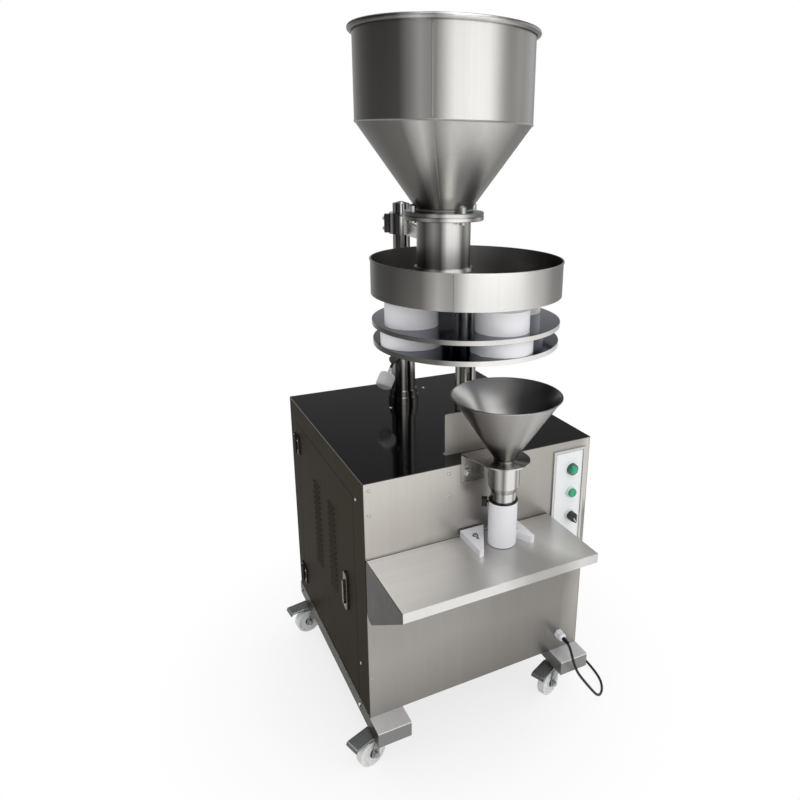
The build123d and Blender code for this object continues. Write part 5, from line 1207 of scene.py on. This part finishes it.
def camera():
    """The photograph's camera."""
    yaw, pitch, roll = (math.radians(a) for a in (CAMERA_YAW, CAMERA_PITCH, CAMERA_ROLL))
    ahead = Vector((math.sin(yaw) * math.cos(pitch), math.cos(yaw) * math.cos(pitch), math.sin(pitch)))
    level = Vector((math.cos(yaw), -math.sin(yaw), 0))
    upright = level.cross(ahead)
    right = math.cos(roll) * level + math.sin(roll) * upright
    up = math.cos(roll) * upright - math.sin(roll) * level
    eye = bpy.data.cameras.new("camera")
    eye.sensor_width = 36
    eye.lens = CAMERA_LENS
    eye.shift_x, eye.shift_y = CAMERA_SHIFT
    eye.clip_end = 50
    holder = bpy.data.objects.new("camera", eye)
    turn = Matrix((right, up, -ahead)).transposed()
    holder.matrix_world = Matrix.Translation(CAMERA_PLACE) @ turn.to_4x4()
    bpy.context.scene.collection.objects.link(holder)
    bpy.context.scene.camera = holder


def plain(value):
    """Neutral grey, from 0 to 1."""
    return (value, value, value)


def studio():
    """Pale floor, soft lamps and a plain world."""
    world = bpy.data.worlds.new("studio")
    world.use_nodes = True
    bpy.context.scene.world = world
    sky = Finish("studio", world.node_tree)
    x, _, z = sky.split(sky.node("ShaderNodeTexCoord", output="Generated"))
    to_camera = sky.node("ShaderNodeLightPath", output="Is Camera Ray")
    to_gloss = Level(sky, to_camera.socket.node.outputs["Is Glossy Ray"])
    room_bands = [
        (0.42, plain(0.78)),
        (0.58, plain(0.8)),
        (0.63, plain(0.2)),
        (0.8, plain(0.14)),
        (1.0, plain(0.5)),
    ]
    side_bands = [
        (0.0, plain(0.34)),
        (0.3, plain(0.7)),
        (0.45, plain(1.0)),
        (0.7, plain(1.0)),
        (1.0, plain(0.6)),
    ]
    room = sky.ramp(z * 0.5 + 0.5, room_bands)
    sides = sky.ramp(x * 0.5 + 0.5, side_bands)
    reflected = sky.mix(to_gloss, plain(0.62), sky.mix(1.0, room, sides, "MULTIPLY"))
    shown = sky.mix(to_camera, reflected, plain(1.0))
    light = sky.node("ShaderNodeBackground", {}, {"Color": shown, "Strength": 1.0})
    end = sky.tree.nodes.new("ShaderNodeOutputWorld")
    sky.tree.links.new(light.socket, end.inputs["Surface"])

    floor_mesh = bpy.data.meshes.new("studio_floor")
    shape = bmesh.new()
    bmesh.ops.create_grid(shape, x_segments=1, y_segments=1, size=FLOOR_HALF)
    shape.to_mesh(floor_mesh)
    shape.free()
    floor = bpy.data.objects.new("studio_floor", floor_mesh)
    bpy.context.scene.collection.objects.link(floor)
    paper = Finish("studio_paper")
    to_camera = paper.node("ShaderNodeLightPath", output="Is Camera Ray")
    whitening = paper.node(
        "ShaderNodeMapRange",
        {"interpolation_type": "SMOOTHSTEP"},
        {
            "Value": paper.reach((0, 0, 0)),
            "From Min": FLOOR_NEAR,
            "From Max": FLOOR_FAR,
            "To Min": FLOOR_WHITE_NEAR,
            "To Max": 1.0,
        },
    )
    soft = paper.node("ShaderNodeBsdfDiffuse", {}, {"Color": (0.84, 0.84, 0.83)})
    white = paper.node("ShaderNodeEmission", {}, {"Color": plain(1.0), "Strength": 1.0})
    paper.close(paper.node("ShaderNodeMixShader", {}, {0: to_camera * whitening, 1: soft, 2: white}))
    floor_mesh.materials.append(paper.material)

    for name, place, aim, wide, tall, power in SOFTBOXES:
        lamp = bpy.data.lights.new(name, "AREA")
        lamp.shape = "RECTANGLE"
        lamp.size = wide
        lamp.size_y = tall
        lamp.energy = power
        holder = bpy.data.objects.new(name, lamp)
        holder.location = place
        holder.rotation_mode = "QUATERNION"
        holder.rotation_quaternion = (Vector(aim) - Vector(place)).to_track_quat("-Z", "Y")
        bpy.context.scene.collection.objects.link(holder)
    bpy.context.scene.view_settings.view_transform = "Standard"


camera()
mains_lead()
lead_trim()
cabinet_fasteners()
rolled_seams()
feed_trim()
control_trim()
door_trim()
for corner in CASTER_HEADINGS:
    caster_trim(corner)
studio()
